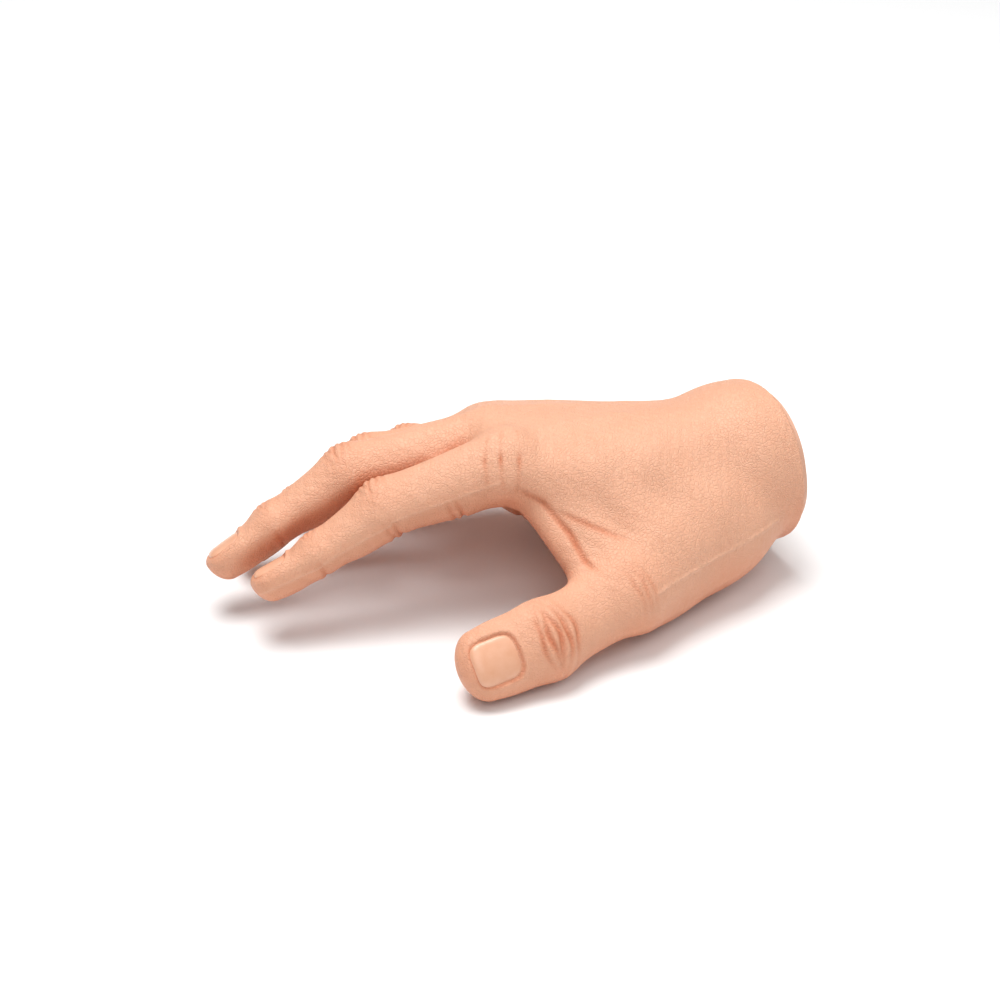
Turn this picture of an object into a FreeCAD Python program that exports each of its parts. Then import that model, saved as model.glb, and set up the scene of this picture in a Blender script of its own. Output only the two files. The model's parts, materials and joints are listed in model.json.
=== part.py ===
import FreeCAD, Part
import math
import os

# Passive right hand prosthesis: a silicone glove over a posable metal armature, lying palm down.
#
# Row frame: the origin is on the wrist thread's axis at the outer face of the wrist plate. +X leaves the
# wrist towards the forearm and +Z is up; the fingers point to -X and the thumb is on the -Y side.
# Lengths are in millimetres and angles in degrees.
#
# The hand itself is laid out in palm axes: X runs from the wrist to the knuckles, Y towards the thumb and
# Z to the back of the hand. Every hinge has axes of the same kind, X along the digit and Y along the pin,
# so a positive turn about Y bends the digit into the palm.
#
# The four finger bases swing together on one knuckle axle. Each finger then has a middle and a tip hinge,
# and the thumb has a root, a middle and a tip hinge. The glove is one skin on the real hand. Here it is
# divided where it bends: each length ends in a round head that turns in its neighbour's socket.

Vector = FreeCAD.Vector

# ---- pose of the palm -------------------------------------------------------------------------------
PALM_START = -6.5  # palm axes start this far in front of the wrist plate's face
WRIST_BEND = 18.0  # the hand is turned this far from the forearm's axis, towards the little finger
PALM_ROLL = 22.0  # the index finger's side of the palm is higher
PALM_PITCH = 6.5  # the palm rises from the wrist to the knuckles

# ---- fingers, in palm axes --------------------------------------------------------------------------
NAMES = ["index", "middle", "ring", "little"]
ROOTS = {
    "index": (86.8, 30.5, 2.0),
    "middle": (89.7, 8.5, 5.5),
    "ring": (84.6, -12.2, 4.4),
    "little": (77.3, -30.7, 0.4),
}
SPLAY = {"index": -3.5, "middle": -0.6, "ring": -1.6, "little": -4.3}
SLOPES = {
    "index": (23, 33.3, 28.4),
    "middle": (14.5, 32.6, 35.4),
    "ring": (12.6, 31, 41),
    "little": (6, 21, 36.7),
}
LENGTHS = {"index": (44, 26, 24), "middle": (49, 30, 26), "ring": (45, 28, 26), "little": (36, 21, 23)}
# Width and thickness at the knuckle, the middle hinge, the tip hinge and near the end.
GIRTHS = {
    "index": [(20, 24), (18.4, 18.5), (16.4, 15.6), (13.4, 11.5)],
    "middle": [(20, 24), (18.4, 18.5), (16.4, 15.6), (13.4, 11.5)],
    "ring": [(19, 23), (17.8, 17.6), (15.8, 15), (12.8, 11)],
    "little": [(17.5, 21), (15.8, 15.6), (14.2, 13.6), (11.4, 10)],
}

# ---- thumb, in palm axes ----------------------------------------------------------------------------
THUMB_POINTS = [(19, 24.5, -10.8), (49.3, 46.5, -37.6), (78, 58.9, -51), (106.6, 68.4, -60.3)]
THUMB_BACK = (-0.22, 0.93, 0.29)  # the way the back of the thumb faces
THUMB_GIRTHS = [(26, 26), (25.5, 23), (24.4, 19.6), (20, 14)]

# ---- hinge travel: straighter than now, and further bent than now ------------------------------------
KNUCKLE_TRAVEL = (20.0, 40.0)
MIDDLE_TRAVEL = (10.0, 55.0)
TIP_TRAVEL = (8.0, 35.0)
THUMB_SWING = (12.0, 10.0)  # outwards, inwards
THUMB_MIDDLE_TRAVEL = (10.0, 35.0)
THUMB_TIP_TRAVEL = (12.0, 45.0)

# ---- palm and glove ---------------------------------------------------------------------------------
WRIST_SIZE = (61.0, 56.0)
# Distance from the wrist, sideways place, height, width and thickness.
PALM_SECTIONS = [(24, 2, -4.5, 64, 50), (46, 2, -3.5, 72, 45), (68, 1, -1.5, 79, 38), (98, 0, 1, 81, 28)]
GLOVE_WALL = 2.2
GLOVE_EDGE = 2.5  # the glove stops this far short of the wrist plate's outer face
HEAD_GAP = 0.4
SKIN_OVER_HEAD = 1.3
NAIL_THICKNESS = 0.8

# ---- wrist hardware ---------------------------------------------------------------------------------
PLATE_DEPTH = 8.0
THREAD_RADIUS = 5.2  # minor radius of the M12 x 1.5 thread
INSERT_RADIUS = 9.0
INSERT_FLANGE_RADIUS = 12.0
INSERT_FLANGE = 2.0
INSERT_LENGTH = 18.0
SCREW_SPREAD = (31.0, 14.0)
SCREW_RADIUS = 1.5
SCREW_HEAD_RADIUS = 2.8
SCREW_HEAD = 2.0
FRAME_FLANGE = 4.0

# ---- armature ---------------------------------------------------------------------------------------
AXLE_CENTRE = (84.5, 0.0, 3.0)
AXLE_SLANT = 0.145  # the axle is further from the wrist on the thumb's side
AXLE_HALF = 38.5
AXLE_RADIUS = 2.5
AXLE_HEAD = 10.5  # radius of the finger bases' round heads
AXLE_COVER = 1.0  # silicone over the axle's ends
NUT_RADIUS, NUT_LENGTH, NUT_PLACE = 4.4, 2.2, 35.0
EYE_RADIUS, EYE_WIDTH = 5.4, 8.0
EAR_THICKNESS, EAR_REACH, EAR_PLACES = 3.0, 17.0, (19.4, -21.3)
BAR_WIDTH, BAR_HEIGHT = 7.0, 5.6
FORK_WALL, TONGUE_WIDTH = 1.9, 3.0
PIN_RADIUS, RUNNING_GAP = 1.3, 0.04
ROOM = 0.6  # between a moving fork and the silicone round it
CAST_GAP = 0.1  # between a bar and the silicone cast on it
BEAM_WIDTH, BEAM_THICKNESS = 30.0, 3.0
ROOT_EYE_RADIUS, ROOT_EYE_HALF = 5.0, 2.5
CHEEK_THICKNESS = 2.0

FAR = 160.0
PARTS = "parts"


def frame_at(origin, forward, side):
    """A placement with local Y along side and local X as near to forward as it can be."""
    y = Vector(side).normalize()
    x = Vector(forward) - y * Vector(forward).dot(y)
    x.normalize()
    z = x.cross(y)
    rotation = FreeCAD.Rotation(x, y, z, "YXZ")
    return FreeCAD.Placement(Vector(origin), rotation)


def turned(direction):
    """A direction in hand axes as a row direction."""
    return FreeCAD.Rotation(Vector(0, 0, 1), -WRIST_BEND).multVec(Vector(direction))


def palm_frame():
    """Palm axes: X to the knuckles, Y to the thumb's side, Z to the back of the hand."""
    roll, pitch = math.radians(PALM_ROLL), math.radians(PALM_PITCH)
    forward = turned((-math.cos(pitch), 0, math.sin(pitch)))
    side = turned((0, -math.cos(roll), math.sin(roll)))
    return frame_at((PALM_START, 0, 0), forward, side)


PALM = palm_frame()


def palm_point(point):
    """A point in palm axes as a row point."""
    return PALM.multVec(Vector(point))


def palm_way(direction):
    """A direction in palm axes as a row direction."""
    return PALM.Rotation.multVec(Vector(direction))


def placed(shape, placement):
    """A copy of shape moved by placement."""
    moved = shape.copy()
    moved.Placement = placement.multiply(moved.Placement)
    return moved


def local(frame, x):
    """The frame moved along its own X."""
    return frame.multiply(FreeCAD.Placement(Vector(x, 0, 0), FreeCAD.Rotation()))


def box(x0, x1, y0, y1, z0, z1):
    """A block between two corners."""
    return Part.makeBox(x1 - x0, y1 - y0, z1 - z0, Vector(x0, y0, z0))


def rod(radius, y0, y1, x=0.0):
    """A cylinder along local Y."""
    return Part.makeCylinder(radius, y1 - y0, Vector(x, y0, 0), Vector(0, 1, 0))


def sector(start, end, half_width, reach=FAR):
    """A wedge about local Y between two angles: 0 is forward and 90 is the back of the hand."""
    steps = int(math.ceil((end - start) / 60.0)) + 1
    angles = [math.radians(start + (end - start) * i / (steps - 1)) for i in range(steps)]
    points = [Vector(0, -half_width, 0)]
    points += [Vector(reach * math.cos(a), -half_width, reach * math.sin(a)) for a in angles]
    points.append(points[0])
    return Part.Face(Part.makePolygon(points)).extrude(Vector(0, 2 * half_width, 0))


def oval(frame, width, thickness, exponent=2.0):
    """A closed smooth section in the frame's YZ plane."""
    points = []
    for i in range(16):
        angle = math.pi * i / 8
        c, s = math.cos(angle), math.sin(angle)
        y = math.copysign(abs(c) ** (2 / exponent), c) * width / 2
        z = math.copysign(abs(s) ** (2 / exponent), s) * thickness / 2
        points.append(frame.multVec(Vector(0, y, z)))
    curve = Part.BSplineCurve()
    curve.interpolate(points, PeriodicFlag=True)
    return Part.Wire(curve.toShape())


def largest(shape):
    """The biggest solid of a shape, as one plain solid."""
    return max(shape.Solids, key=lambda solid: solid.Volume)


# ---- hinge frames -----------------------------------------------------------------------------------
def axle_frame():
    """Local Y runs along the knuckle axle to the thumb's side."""
    return frame_at(palm_point(AXLE_CENTRE), palm_way((1, 0, 0)), palm_way((AXLE_SLANT, 1, 0)))


AXLE = axle_frame()


def finger_frames(name):
    """A finger's frames at the knuckle, the middle hinge and the tip hinge."""
    splay = math.radians(SPLAY[name])
    side = palm_way((-math.sin(splay), math.cos(splay), 0))
    at = palm_point(ROOTS[name])
    frames = []
    for slope, length in zip(SLOPES[name], LENGTHS[name]):
        down = math.radians(slope)
        flat = math.cos(down)
        forward = palm_way((flat * math.cos(splay), flat * math.sin(splay), -math.sin(down)))
        frames.append(frame_at(at, forward, side))
        at = at + forward * length
    return frames


def thumb_frames():
    """The thumb's frames at its root, middle and tip hinges."""
    back = palm_way(THUMB_BACK)
    points = [palm_point(p) for p in THUMB_POINTS]
    frames = []
    for start, end in zip(points, points[1:]):
        forward = end - start
        frames.append(frame_at(start, forward, back.cross(forward)))
    return frames


def swing_frame(thumb):
    """The thumb root's frame: local Y is the swing axis and local X follows the thumb's first length."""
    forward = thumb[0].Rotation.multVec(Vector(1, 0, 0))
    return frame_at(thumb[0].Base, forward, palm_way((0, 0, 1)) - forward * forward.dot(palm_way((0, 0, 1))))


def rest_bend(parent, hinge):
    """How far a hinge is bent at rest, about its own Y."""
    back = hinge.inverse().Rotation.multVec(parent.Rotation.multVec(Vector(1, 0, 0)))
    return math.degrees(math.atan2(back.z, back.x))


# ---- soft lengths -----------------------------------------------------------------------------------
def skin(frame, length, start, end, tip=False):
    """The outer shape of one length of a digit, reaching a little past both of its hinges."""
    (w0, t0), (w1, t1) = start, end
    half_way = (length * 0.5, (w0 + w1) / 2, (t0 + t1) / 2)
    stations = [(-t0 * 0.5, w0, t0), (0, w0, t0), half_way, (length, w1, t1)]
    if tip:
        stations = stations[:3] + [(length - w1 * 0.45, w1, t1), (length - w1 * 0.12, w1 * 0.72, t1 * 0.72)]
        stations.append((length, w1 * 0.25, t1 * 0.25))
    else:
        stations.append((length + t1 * 0.3, w1, t1))
    return Part.makeLoft([oval(local(frame, x), w, t) for x, w, t in stations], True, False)


def head_radius(girth):
    """Radius of the round head inside a digit of that thickness."""
    return girth[1] / 2 - SKIN_OVER_HEAD


def with_head(shape, hinge, radius, bend, travel):
    """Shapes a length's start into a round head, with room for the parent's fork to swing in it."""
    straighter, further = travel
    flexed = (bend + further) / 2
    behind = sector(90, 270 + flexed, FAR).cut(rod(radius, -FAR, FAR))
    half = BAR_WIDTH / 2 + ROOM
    tall = BAR_HEIGHT / 2 + ROOM
    room = rod(tall, -half, half)
    turns = [bend - straighter, bend + further * 0.33, bend + further * 0.66, bend + further]
    room = room.fuse(sector(180 + turns[0], 180 + turns[-1], half, radius + 5))
    for turn in turns:
        slot = box(-radius - 5, 0, -half, half, -tall, tall)
        slot.rotate(Vector(0, 0, 0), Vector(0, 1, 0), -turn)
        room = room.fuse(slot)
    return shape.cut(placed(behind, hinge)).cut(placed(room, hinge))


def with_socket(shape, hinge, radius, bend, travel):
    """Shapes a length's end into the socket that the next head turns in."""
    straighter, further = travel
    flexed = (bend + further) / 2
    backwards = max(0.0, straighter - bend)
    ahead = sector(-90 - flexed + bend - 1.5, 90 + bend + backwards + 0.5, FAR)
    return shape.cut(placed(rod(radius + HEAD_GAP, -FAR, FAR), hinge)).cut(placed(ahead, hinge))


def channel(frame, start, stop):
    """The space a bar takes in the silicone cast round it."""
    half, tall = BAR_WIDTH / 2 + CAST_GAP, BAR_HEIGHT / 2 + CAST_GAP
    return placed(box(start, stop, -half, half, -tall, tall), frame)


# ---- bars and pins ----------------------------------------------------------------------------------
def swung(shape, hinge, travel, count=9):
    """The space a shape sweeps when it turns about a hinge, as copies a few degrees apart."""
    straighter, further = travel
    axis = hinge.Rotation.multVec(Vector(0, 1, 0))
    copies = []
    for i in range(count):
        copy = shape.copy()
        copy.rotate(hinge.Base, axis, straighter - (straighter + further) * i / (count - 1))
        copies.append(copy)
    return copies[0].fuse(copies[1:])


def bar_room(frame, length, hinge, travel):
    """The room a bar needs in the next length's head, where the two are turned about each other's length."""
    half, tall = BAR_WIDTH / 2 + ROOM, BAR_HEIGHT / 2 + ROOM
    return swung(placed(box(length - 20, length - 3, -half, half, -tall, tall), frame), hinge, travel)


def bar(frame, start, stop):
    """The plain middle of a link."""
    half, tall = BAR_WIDTH / 2, BAR_HEIGHT / 2
    return placed(box(start, stop, -half, half, -tall, tall), frame)


def tongue(frame):
    """A link's root: one thick leaf with a running bore."""
    half, tall = TONGUE_WIDTH / 2, BAR_HEIGHT / 2
    leaf = box(0, tall + 2.4, -half, half, -tall, tall).fuse(rod(tall, -half, half))
    return placed(leaf, frame)


def fork(hinge, parent):
    """A link's end: two leaves beside the next link's tongue, which hold its pin."""
    forward = parent.Rotation.multVec(Vector(1, 0, 0))
    frame = frame_at(hinge.Base, forward, hinge.Rotation.multVec(Vector(0, 1, 0)))
    half, tall = BAR_WIDTH / 2, BAR_HEIGHT / 2
    leaves = box(-tall - 2.4, 0, -half, half, -tall, tall).fuse(rod(tall, -half, half))
    mouth = box(-tall - 1.0, tall + 1, -half + FORK_WALL, half - FORK_WALL, -FAR, FAR)
    return placed(leaves.cut(mouth), frame)


def pin(hinge):
    """A hinge pin, flush with the fork's outer faces."""
    return placed(rod(PIN_RADIUS, -BAR_WIDTH / 2, BAR_WIDTH / 2), hinge)


def link(frame, length, rooted=True, next_hinge=None):
    """One armature link, with a tongue at its root unless rooted is False, and a fork if a hinge follows."""
    tall = BAR_HEIGHT / 2
    start = tall + 1.0 if rooted else 0.0
    stop = length - tall - 1.0 if next_hinge else length - 7.0
    shape = bar(frame, start, stop)
    if rooted:
        shape = shape.fuse(tongue(frame)).cut(placed(rod(PIN_RADIUS + RUNNING_GAP, -FAR, FAR), frame))
    if next_hinge:
        shape = shape.fuse(fork(next_hinge, frame)).cut(placed(rod(PIN_RADIUS, -FAR, FAR), next_hinge))
    return largest(shape.removeSplitter())


def split_nail(shape, frame, length, girth):
    """Parts a nail plate from the back of a finger end. Gives the nail and the flesh left under it."""
    width, _ = girth
    under = shape.copy()
    under.translate(frame.Rotation.multVec(Vector(0, 0, -NAIL_THICKNESS)))
    window = placed(box(length * 0.42, length - 2.2, -width * 0.36, width * 0.36, 0, FAR), frame)
    plate = largest(shape.common(window).cut(under))
    return plate, largest(shape.cut(plate))


def finger_outer(name):
    """Everything of a finger beyond its middle hinge, and the pins of both hinges."""
    frames, girths, lengths = finger_frames(name), GIRTHS[name], LENGTHS[name]
    bends = [rest_bend(frames[0], frames[1]), rest_bend(frames[1], frames[2])]
    radii = [head_radius(girths[1]), head_radius(girths[2])]
    middle = skin(frames[1], lengths[1], girths[1], girths[2])
    middle = with_head(middle, frames[1], radii[0], bends[0], MIDDLE_TRAVEL)
    middle = with_socket(middle, frames[2], radii[1], bends[1], TIP_TRAVEL)
    middle = middle.cut(channel(frames[1], 0, lengths[1]))
    end = skin(frames[2], lengths[2], girths[2], girths[3], tip=True)
    end = with_head(end, frames[2], radii[1], bends[1], TIP_TRAVEL)
    end = end.cut(channel(frames[2], 0, lengths[2] - 7.0 + CAST_GAP))
    nail, flesh = split_nail(end, frames[2], lengths[2], girths[3])
    return {
        f"{name}_middle_glove": largest(middle),
        f"{name}_tip_glove": flesh,
        f"{name}_nail": nail,
        f"{name}_middle_link": link(frames[1], lengths[1], next_hinge=frames[2]),
        f"{name}_tip_link": link(frames[2], lengths[2]),
        f"{name}_middle_pin": pin(frames[1]),
        f"{name}_tip_pin": pin(frames[2]),
    }


# ---- finger bases on the knuckle axle ---------------------------------------------------------------
def axle_station(name):
    """Where along the axle a finger's eye sits."""
    return AXLE.inverse().multVec(palm_point(ROOTS[name])).y


def base_frame(name):
    """A base link's frame: from its eye on the axle to the middle hinge."""
    eye = AXLE.multVec(Vector(0, axle_station(name), 0))
    hinge = finger_frames(name)[1]
    return frame_at(eye, hinge.Base - eye, hinge.Rotation.multVec(Vector(0, 1, 0)))


def base_link(name):
    """A finger's base link, which turns on the knuckle axle."""
    frame, hinge = base_frame(name), finger_frames(name)[1]
    length = (hinge.Base - frame.Base).Length
    shape = link(frame, length, rooted=False, next_hinge=hinge)
    station = axle_station(name)
    eye = placed(rod(EYE_RADIUS, station - EYE_WIDTH / 2, station + EYE_WIDTH / 2), AXLE)
    shape = shape.fuse(eye).cut(placed(rod(AXLE_RADIUS + RUNNING_GAP, -FAR, FAR), AXLE))
    for start, stop in [(NUT_PLACE - 0.3, FAR), (-FAR, 0.3 - NUT_PLACE)]:
        shape = shape.cut(placed(rod(NUT_RADIUS + 0.4, start, stop), AXLE))
    return largest(shape.removeSplitter())


def axle_nut(start):
    """A round nut on the knuckle axle's end."""
    return placed(rod(NUT_RADIUS, start, start + NUT_LENGTH).cut(rod(AXLE_RADIUS, -FAR, FAR)), AXLE)


def base_gloves():
    """The four finger bases' soft shapes, parted by planes half way between neighbours."""
    straighter, further = KNUCKLE_TRAVEL
    stations = [axle_station(name) for name in NAMES]
    edges = [AXLE_HALF] + [(a + b) / 2 for a, b in zip(stations, stations[1:])] + [-AXLE_HALF]
    region = sector(-90 + further / 2, 90 - straighter / 2, FAR)
    made = {}
    for i, name in enumerate(NAMES):
        frames, girths, length = finger_frames(name), GIRTHS[name], LENGTHS[name][0]
        shape = skin(frames[0], length, girths[0], girths[1]).common(placed(region, AXLE))
        shape = shape.fuse(placed(rod(AXLE_HEAD, edges[i + 1], edges[i]), AXLE))
        shape = shape.common(placed(box(-30, 60, edges[i + 1] + 0.05, edges[i] - 0.05, -60, 60), AXLE))
        bend = rest_bend(frames[0], frames[1])
        shape = with_socket(shape, frames[1], head_radius(girths[1]), bend, MIDDLE_TRAVEL)
        shape = shape.cut(channel(base_frame(name), 0, length + 10))
        hole = rod(EYE_RADIUS + CAST_GAP, -AXLE_HALF + AXLE_COVER, AXLE_HALF - AXLE_COVER)
        for place in EAR_PLACES:
            half = EAR_THICKNESS / 2 + 0.5
            swept = sector(95, 265, half)
            swept.translate(Vector(0, place, 0))
            hole = hole.fuse(rod(EYE_RADIUS + ROOM, place - half, place + half)).fuse(swept)
        made[f"{name}_base_glove"] = largest(shape.cut(placed(hole, AXLE)))
    return made


# ---- thumb ------------------------------------------------------------------------------------------
def thumb_parts(frames, swing):
    """The thumb's moving solids by node name."""
    girths = THUMB_GIRTHS
    points = [palm_point(p) for p in THUMB_POINTS]
    lengths = [(b - a).Length for a, b in zip(points, points[1:])]
    bends = [rest_bend(frames[0], frames[1]), rest_bend(frames[1], frames[2])]
    radii = [head_radius(girths[1]), head_radius(girths[2])]
    ball = Part.makeSphere(girths[0][0] / 2, points[0])
    neck = (girths[0][0] - 1.6, girths[0][1] - 1.6)
    stations = [(0, neck), (lengths[0] * 0.5, neck), (lengths[0], girths[1]), (lengths[0] + 6, girths[1])]
    base = Part.makeLoft([oval(local(frames[0], x), w, t) for x, (w, t) in stations], True, False).fuse(ball)
    base = with_socket(base, frames[1], radii[0], bends[0], THUMB_MIDDLE_TRAVEL)
    base = base.cut(channel(frames[0], 0, lengths[0] + 8)).cut(placed(bracket_room(), swing))
    middle = skin(frames[1], lengths[1], girths[1], girths[2])
    middle = with_head(middle, frames[1], radii[0], bends[0], THUMB_MIDDLE_TRAVEL)
    middle = with_socket(middle, frames[2], radii[1], bends[1], THUMB_TIP_TRAVEL)
    middle = middle.cut(channel(frames[1], 0, lengths[1]))
    middle = middle.cut(bar_room(frames[0], lengths[0], frames[1], THUMB_MIDDLE_TRAVEL))
    end = skin(frames[2], lengths[2], girths[2], girths[3], tip=True)
    end = with_head(end, frames[2], radii[1], bends[1], THUMB_TIP_TRAVEL)
    end = end.cut(channel(frames[2], 0, lengths[2] - 7.0 + CAST_GAP))
    end = end.cut(bar_room(frames[1], lengths[1], frames[2], THUMB_TIP_TRAVEL))
    nail, flesh = split_nail(end, frames[2], lengths[2], girths[3])
    root_eye = placed(rod(ROOT_EYE_RADIUS, -ROOT_EYE_HALF, ROOT_EYE_HALF), swing)
    root_link = link(frames[0], lengths[0], rooted=False, next_hinge=frames[1])
    cheeks = placed(rod(ROOT_EYE_RADIUS + 0.4, -FAR, FAR), swing)
    stem = placed(box(0, 9, -ROOT_EYE_HALF, ROOT_EYE_HALF, -2.5, 2.5), swing)
    root_link = root_link.cut(cheeks).fuse(root_eye).fuse(stem)
    root_link = root_link.cut(placed(rod(PIN_RADIUS + RUNNING_GAP, -FAR, FAR), swing))
    return {
        "thumb_base_glove": largest(base.cut(root_link)),
        "thumb_middle_glove": largest(middle),
        "thumb_tip_glove": flesh,
        "thumb_nail": nail,
        "thumb_base_link": largest(root_link.removeSplitter()),
        "thumb_middle_link": link(frames[1], lengths[1], next_hinge=frames[2]),
        "thumb_tip_link": link(frames[2], lengths[2]),
        "thumb_middle_pin": pin(frames[1]),
        "thumb_tip_pin": pin(frames[2]),
    }


def bracket_room():
    """The space in the thumb's round root for the bracket's two cheeks, in the swing frame."""
    outward, inward = THUMB_SWING
    half = ROOT_EYE_HALF + RUNNING_GAP + CHEEK_THICKNESS + ROOM
    room = rod(ROOT_EYE_RADIUS + ROOM, -half, half)
    room = room.fuse(sector(180 - inward - 2, 180 + outward + 2, half, 20))
    for turn in (-inward, 0, outward):
        slot = box(-20, 0, -half, half, -ROOT_EYE_RADIUS - ROOM, ROOT_EYE_RADIUS + ROOM)
        slot.rotate(Vector(0, 0, 0), Vector(0, 1, 0), -turn)
        room = room.fuse(slot)
    return room


def thumb_bracket(swing):
    """Two cheeks round the thumb's root eye, joined behind it and seated on the palm beam."""
    inner = ROOT_EYE_HALF + RUNNING_GAP
    outer = inner + CHEEK_THICKNESS
    cheeks = rod(ROOT_EYE_RADIUS, -outer, outer).fuse(box(-18, 0, -outer, outer, -5, 5))
    cheeks = cheeks.cut(box(-13.6, 20, -inner, inner, -20, 20))
    shape = placed(cheeks, swing).cut(placed(rod(PIN_RADIUS, -FAR, FAR), swing))
    foot = placed(box(2, 14, 4, 15, -7, 0), beam_frame())
    return shape.fuse(foot.cut(Part.makeSphere(THUMB_GIRTHS[0][0] / 2 + HEAD_GAP, swing.Base)))


def thumb_pivot(swing):
    """The pin the thumb swings on."""
    outer = ROOT_EYE_HALF + RUNNING_GAP + CHEEK_THICKNESS
    return placed(rod(PIN_RADIUS, -outer, outer), swing)


# ---- palm -------------------------------------------------------------------------------------------
def beam_frame():
    """The palm beam's frame: from the wrist flange to the middle of the knuckle axle."""
    start = Vector(-PLATE_DEPTH - FRAME_FLANGE, 0, 0)
    return frame_at(start, AXLE.Base - start, palm_way((0, 1, 0)))


def palm_loft(inset):
    """The palm's rounded shape, made smaller all round by inset, from the wrist to past the knuckles."""
    width, depth = WRIST_SIZE
    side = palm_way((0, 1, 0))
    wrist = frame_at((-GLOVE_EDGE, 0, 0), (-1, 0, 0), Vector(0, side.y, side.z))
    wires = [oval(wrist, width - 2 * inset, depth - 2 * inset, 2.2)]
    for x, y, z, section_width, thickness in PALM_SECTIONS:
        frame = PALM.multiply(FreeCAD.Placement(Vector(x, y, z), FreeCAD.Rotation()))
        wires.append(oval(frame, section_width - 2 * inset, thickness - 2 * inset, 2.4))
    return Part.makeLoft(wires, True, False)


def thumb_sweep(shape, swing, thumb):
    """Cuts the room that the thumb's round root and first length swing in."""
    radius = THUMB_GIRTHS[0][0] / 2 + HEAD_GAP
    shape = shape.cut(Part.makeSphere(radius, swing.Base))
    length = (thumb[1].Base - thumb[0].Base).Length
    outward, inward = THUMB_SWING
    count = 5
    for i in range(count):
        turn = -outward + (outward + inward) * i / (count - 1)
        limb = Part.makeCylinder(radius + 0.3, length, Vector(), Vector(1, 0, 0))
        limb = limb.fuse(Part.makeSphere(radius + 0.3, Vector(length, 0, 0)))
        limb.rotate(Vector(), Vector(0, 1, 0), -turn)
        shape = shape.cut(placed(limb, swing))
    return shape


def palm_metal(beam, swing):
    """Flange, beam and the two ears that carry the knuckle axle, as one welded frame."""
    flange = Part.makeBox(FRAME_FLANGE, 42, 24, Vector(-PLATE_DEPTH - FRAME_FLANGE, -21, -12))
    reach = (AXLE.Base - beam.Base).Length - AXLE_HEAD - 3.0
    half = BEAM_WIDTH / 2
    plate = placed(box(-1, reach, -half + 4, half - 8, -BEAM_THICKNESS / 2, BEAM_THICKNESS / 2), beam)
    crossbar = placed(box(-EAR_REACH, -EAR_REACH + 4, EAR_PLACES[1] - 3, EAR_PLACES[0] + 3, -3, 3), AXLE)
    shape = flange.fuse(plate).fuse(crossbar)
    for place in EAR_PLACES:
        y0, y1 = place - EAR_THICKNESS / 2, place + EAR_THICKNESS / 2
        ear = box(-EAR_REACH, 0, y0, y1, -4, 4).fuse(rod(EYE_RADIUS, y0, y1))
        shape = shape.fuse(placed(ear, AXLE))
    shape = shape.cut(placed(rod(AXLE_RADIUS, -FAR, FAR), AXLE))
    shape = shape.cut(insert_body(0.05))
    for y, z in screw_places():
        shape = shape.cut(Part.makeCylinder(SCREW_RADIUS, 20, Vector(-20, y, z), Vector(1, 0, 0)))
    return largest(shape.removeSplitter())


def screw_places():
    """The wrist screws' centres in the plate."""
    wide, high = SCREW_SPREAD[0] / 2, SCREW_SPREAD[1] / 2
    return [(y, z) for y in (-wide, wide) for z in (-high, high)]


def insert_body(gap=0.0):
    """The threaded insert's outer shape, larger all round by gap."""
    length = INSERT_LENGTH + gap
    body = Part.makeCylinder(INSERT_RADIUS + gap, length, Vector(-length, 0, 0), Vector(1, 0, 0))
    depth = INSERT_FLANGE + gap
    flange = Part.makeCylinder(INSERT_FLANGE_RADIUS + gap, depth, Vector(-depth, 0, 0), Vector(1, 0, 0))
    return body.fuse(flange)


def threaded_insert():
    """The metal insert that an M12 stud screws into."""
    depth = INSERT_LENGTH - 2.0
    return insert_body().cut(Part.makeCylinder(THREAD_RADIUS, depth, Vector(-depth, 0, 0), Vector(1, 0, 0)))


def wrist_screw(y, z):
    """A wrist screw with a hexagon socket in its head."""
    head = Part.makeCylinder(SCREW_HEAD_RADIUS, SCREW_HEAD, Vector(-SCREW_HEAD - 0.3, y, z), Vector(1, 0, 0))
    start = Vector(-PLATE_DEPTH - 3.5, y, z)
    shank = Part.makeCylinder(SCREW_RADIUS, PLATE_DEPTH + 3.0, start, Vector(1, 0, 0))
    corners = []
    for i in range(7):
        angle = math.pi * i / 3
        corners.append(Vector(0, y + 1.45 * math.cos(angle), z + 1.45 * math.sin(angle)))
    socket = Part.Face(Part.makePolygon(corners)).extrude(Vector(-1.6, 0, 0))
    return head.fuse(shank).removeSplitter().cut(socket)


def wrist_plate():
    """The hard end plate that closes the glove, its rim just proud of the glove's edge."""
    width, depth = WRIST_SIZE
    side = palm_way((0, 1, 0))
    ends = []
    for x in (0.0, -GLOVE_EDGE, -PLATE_DEPTH):
        frame = frame_at((x, 0, 0), (-1, 0, 0), Vector(0, side.y, side.z))
        shrink = 1.0 if x == 0.0 else 0.0
        ends.append(oval(frame, width - 2 * GLOVE_WALL - shrink, depth - 2 * GLOVE_WALL - shrink, 2.2))
    plate = Part.makeLoft(ends, True, True)
    plate = plate.cut(insert_body(0.02))
    for y, z in screw_places():
        plate = plate.cut(Part.makeCylinder(SCREW_RADIUS, 20, Vector(-20, y, z), Vector(1, 0, 0)))
        seat = Vector(-SCREW_HEAD - 0.3, y, z)
        plate = plate.cut(Part.makeCylinder(SCREW_HEAD_RADIUS + 0.1, 5, seat, Vector(1, 0, 0)))
    return largest(plate)


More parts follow.
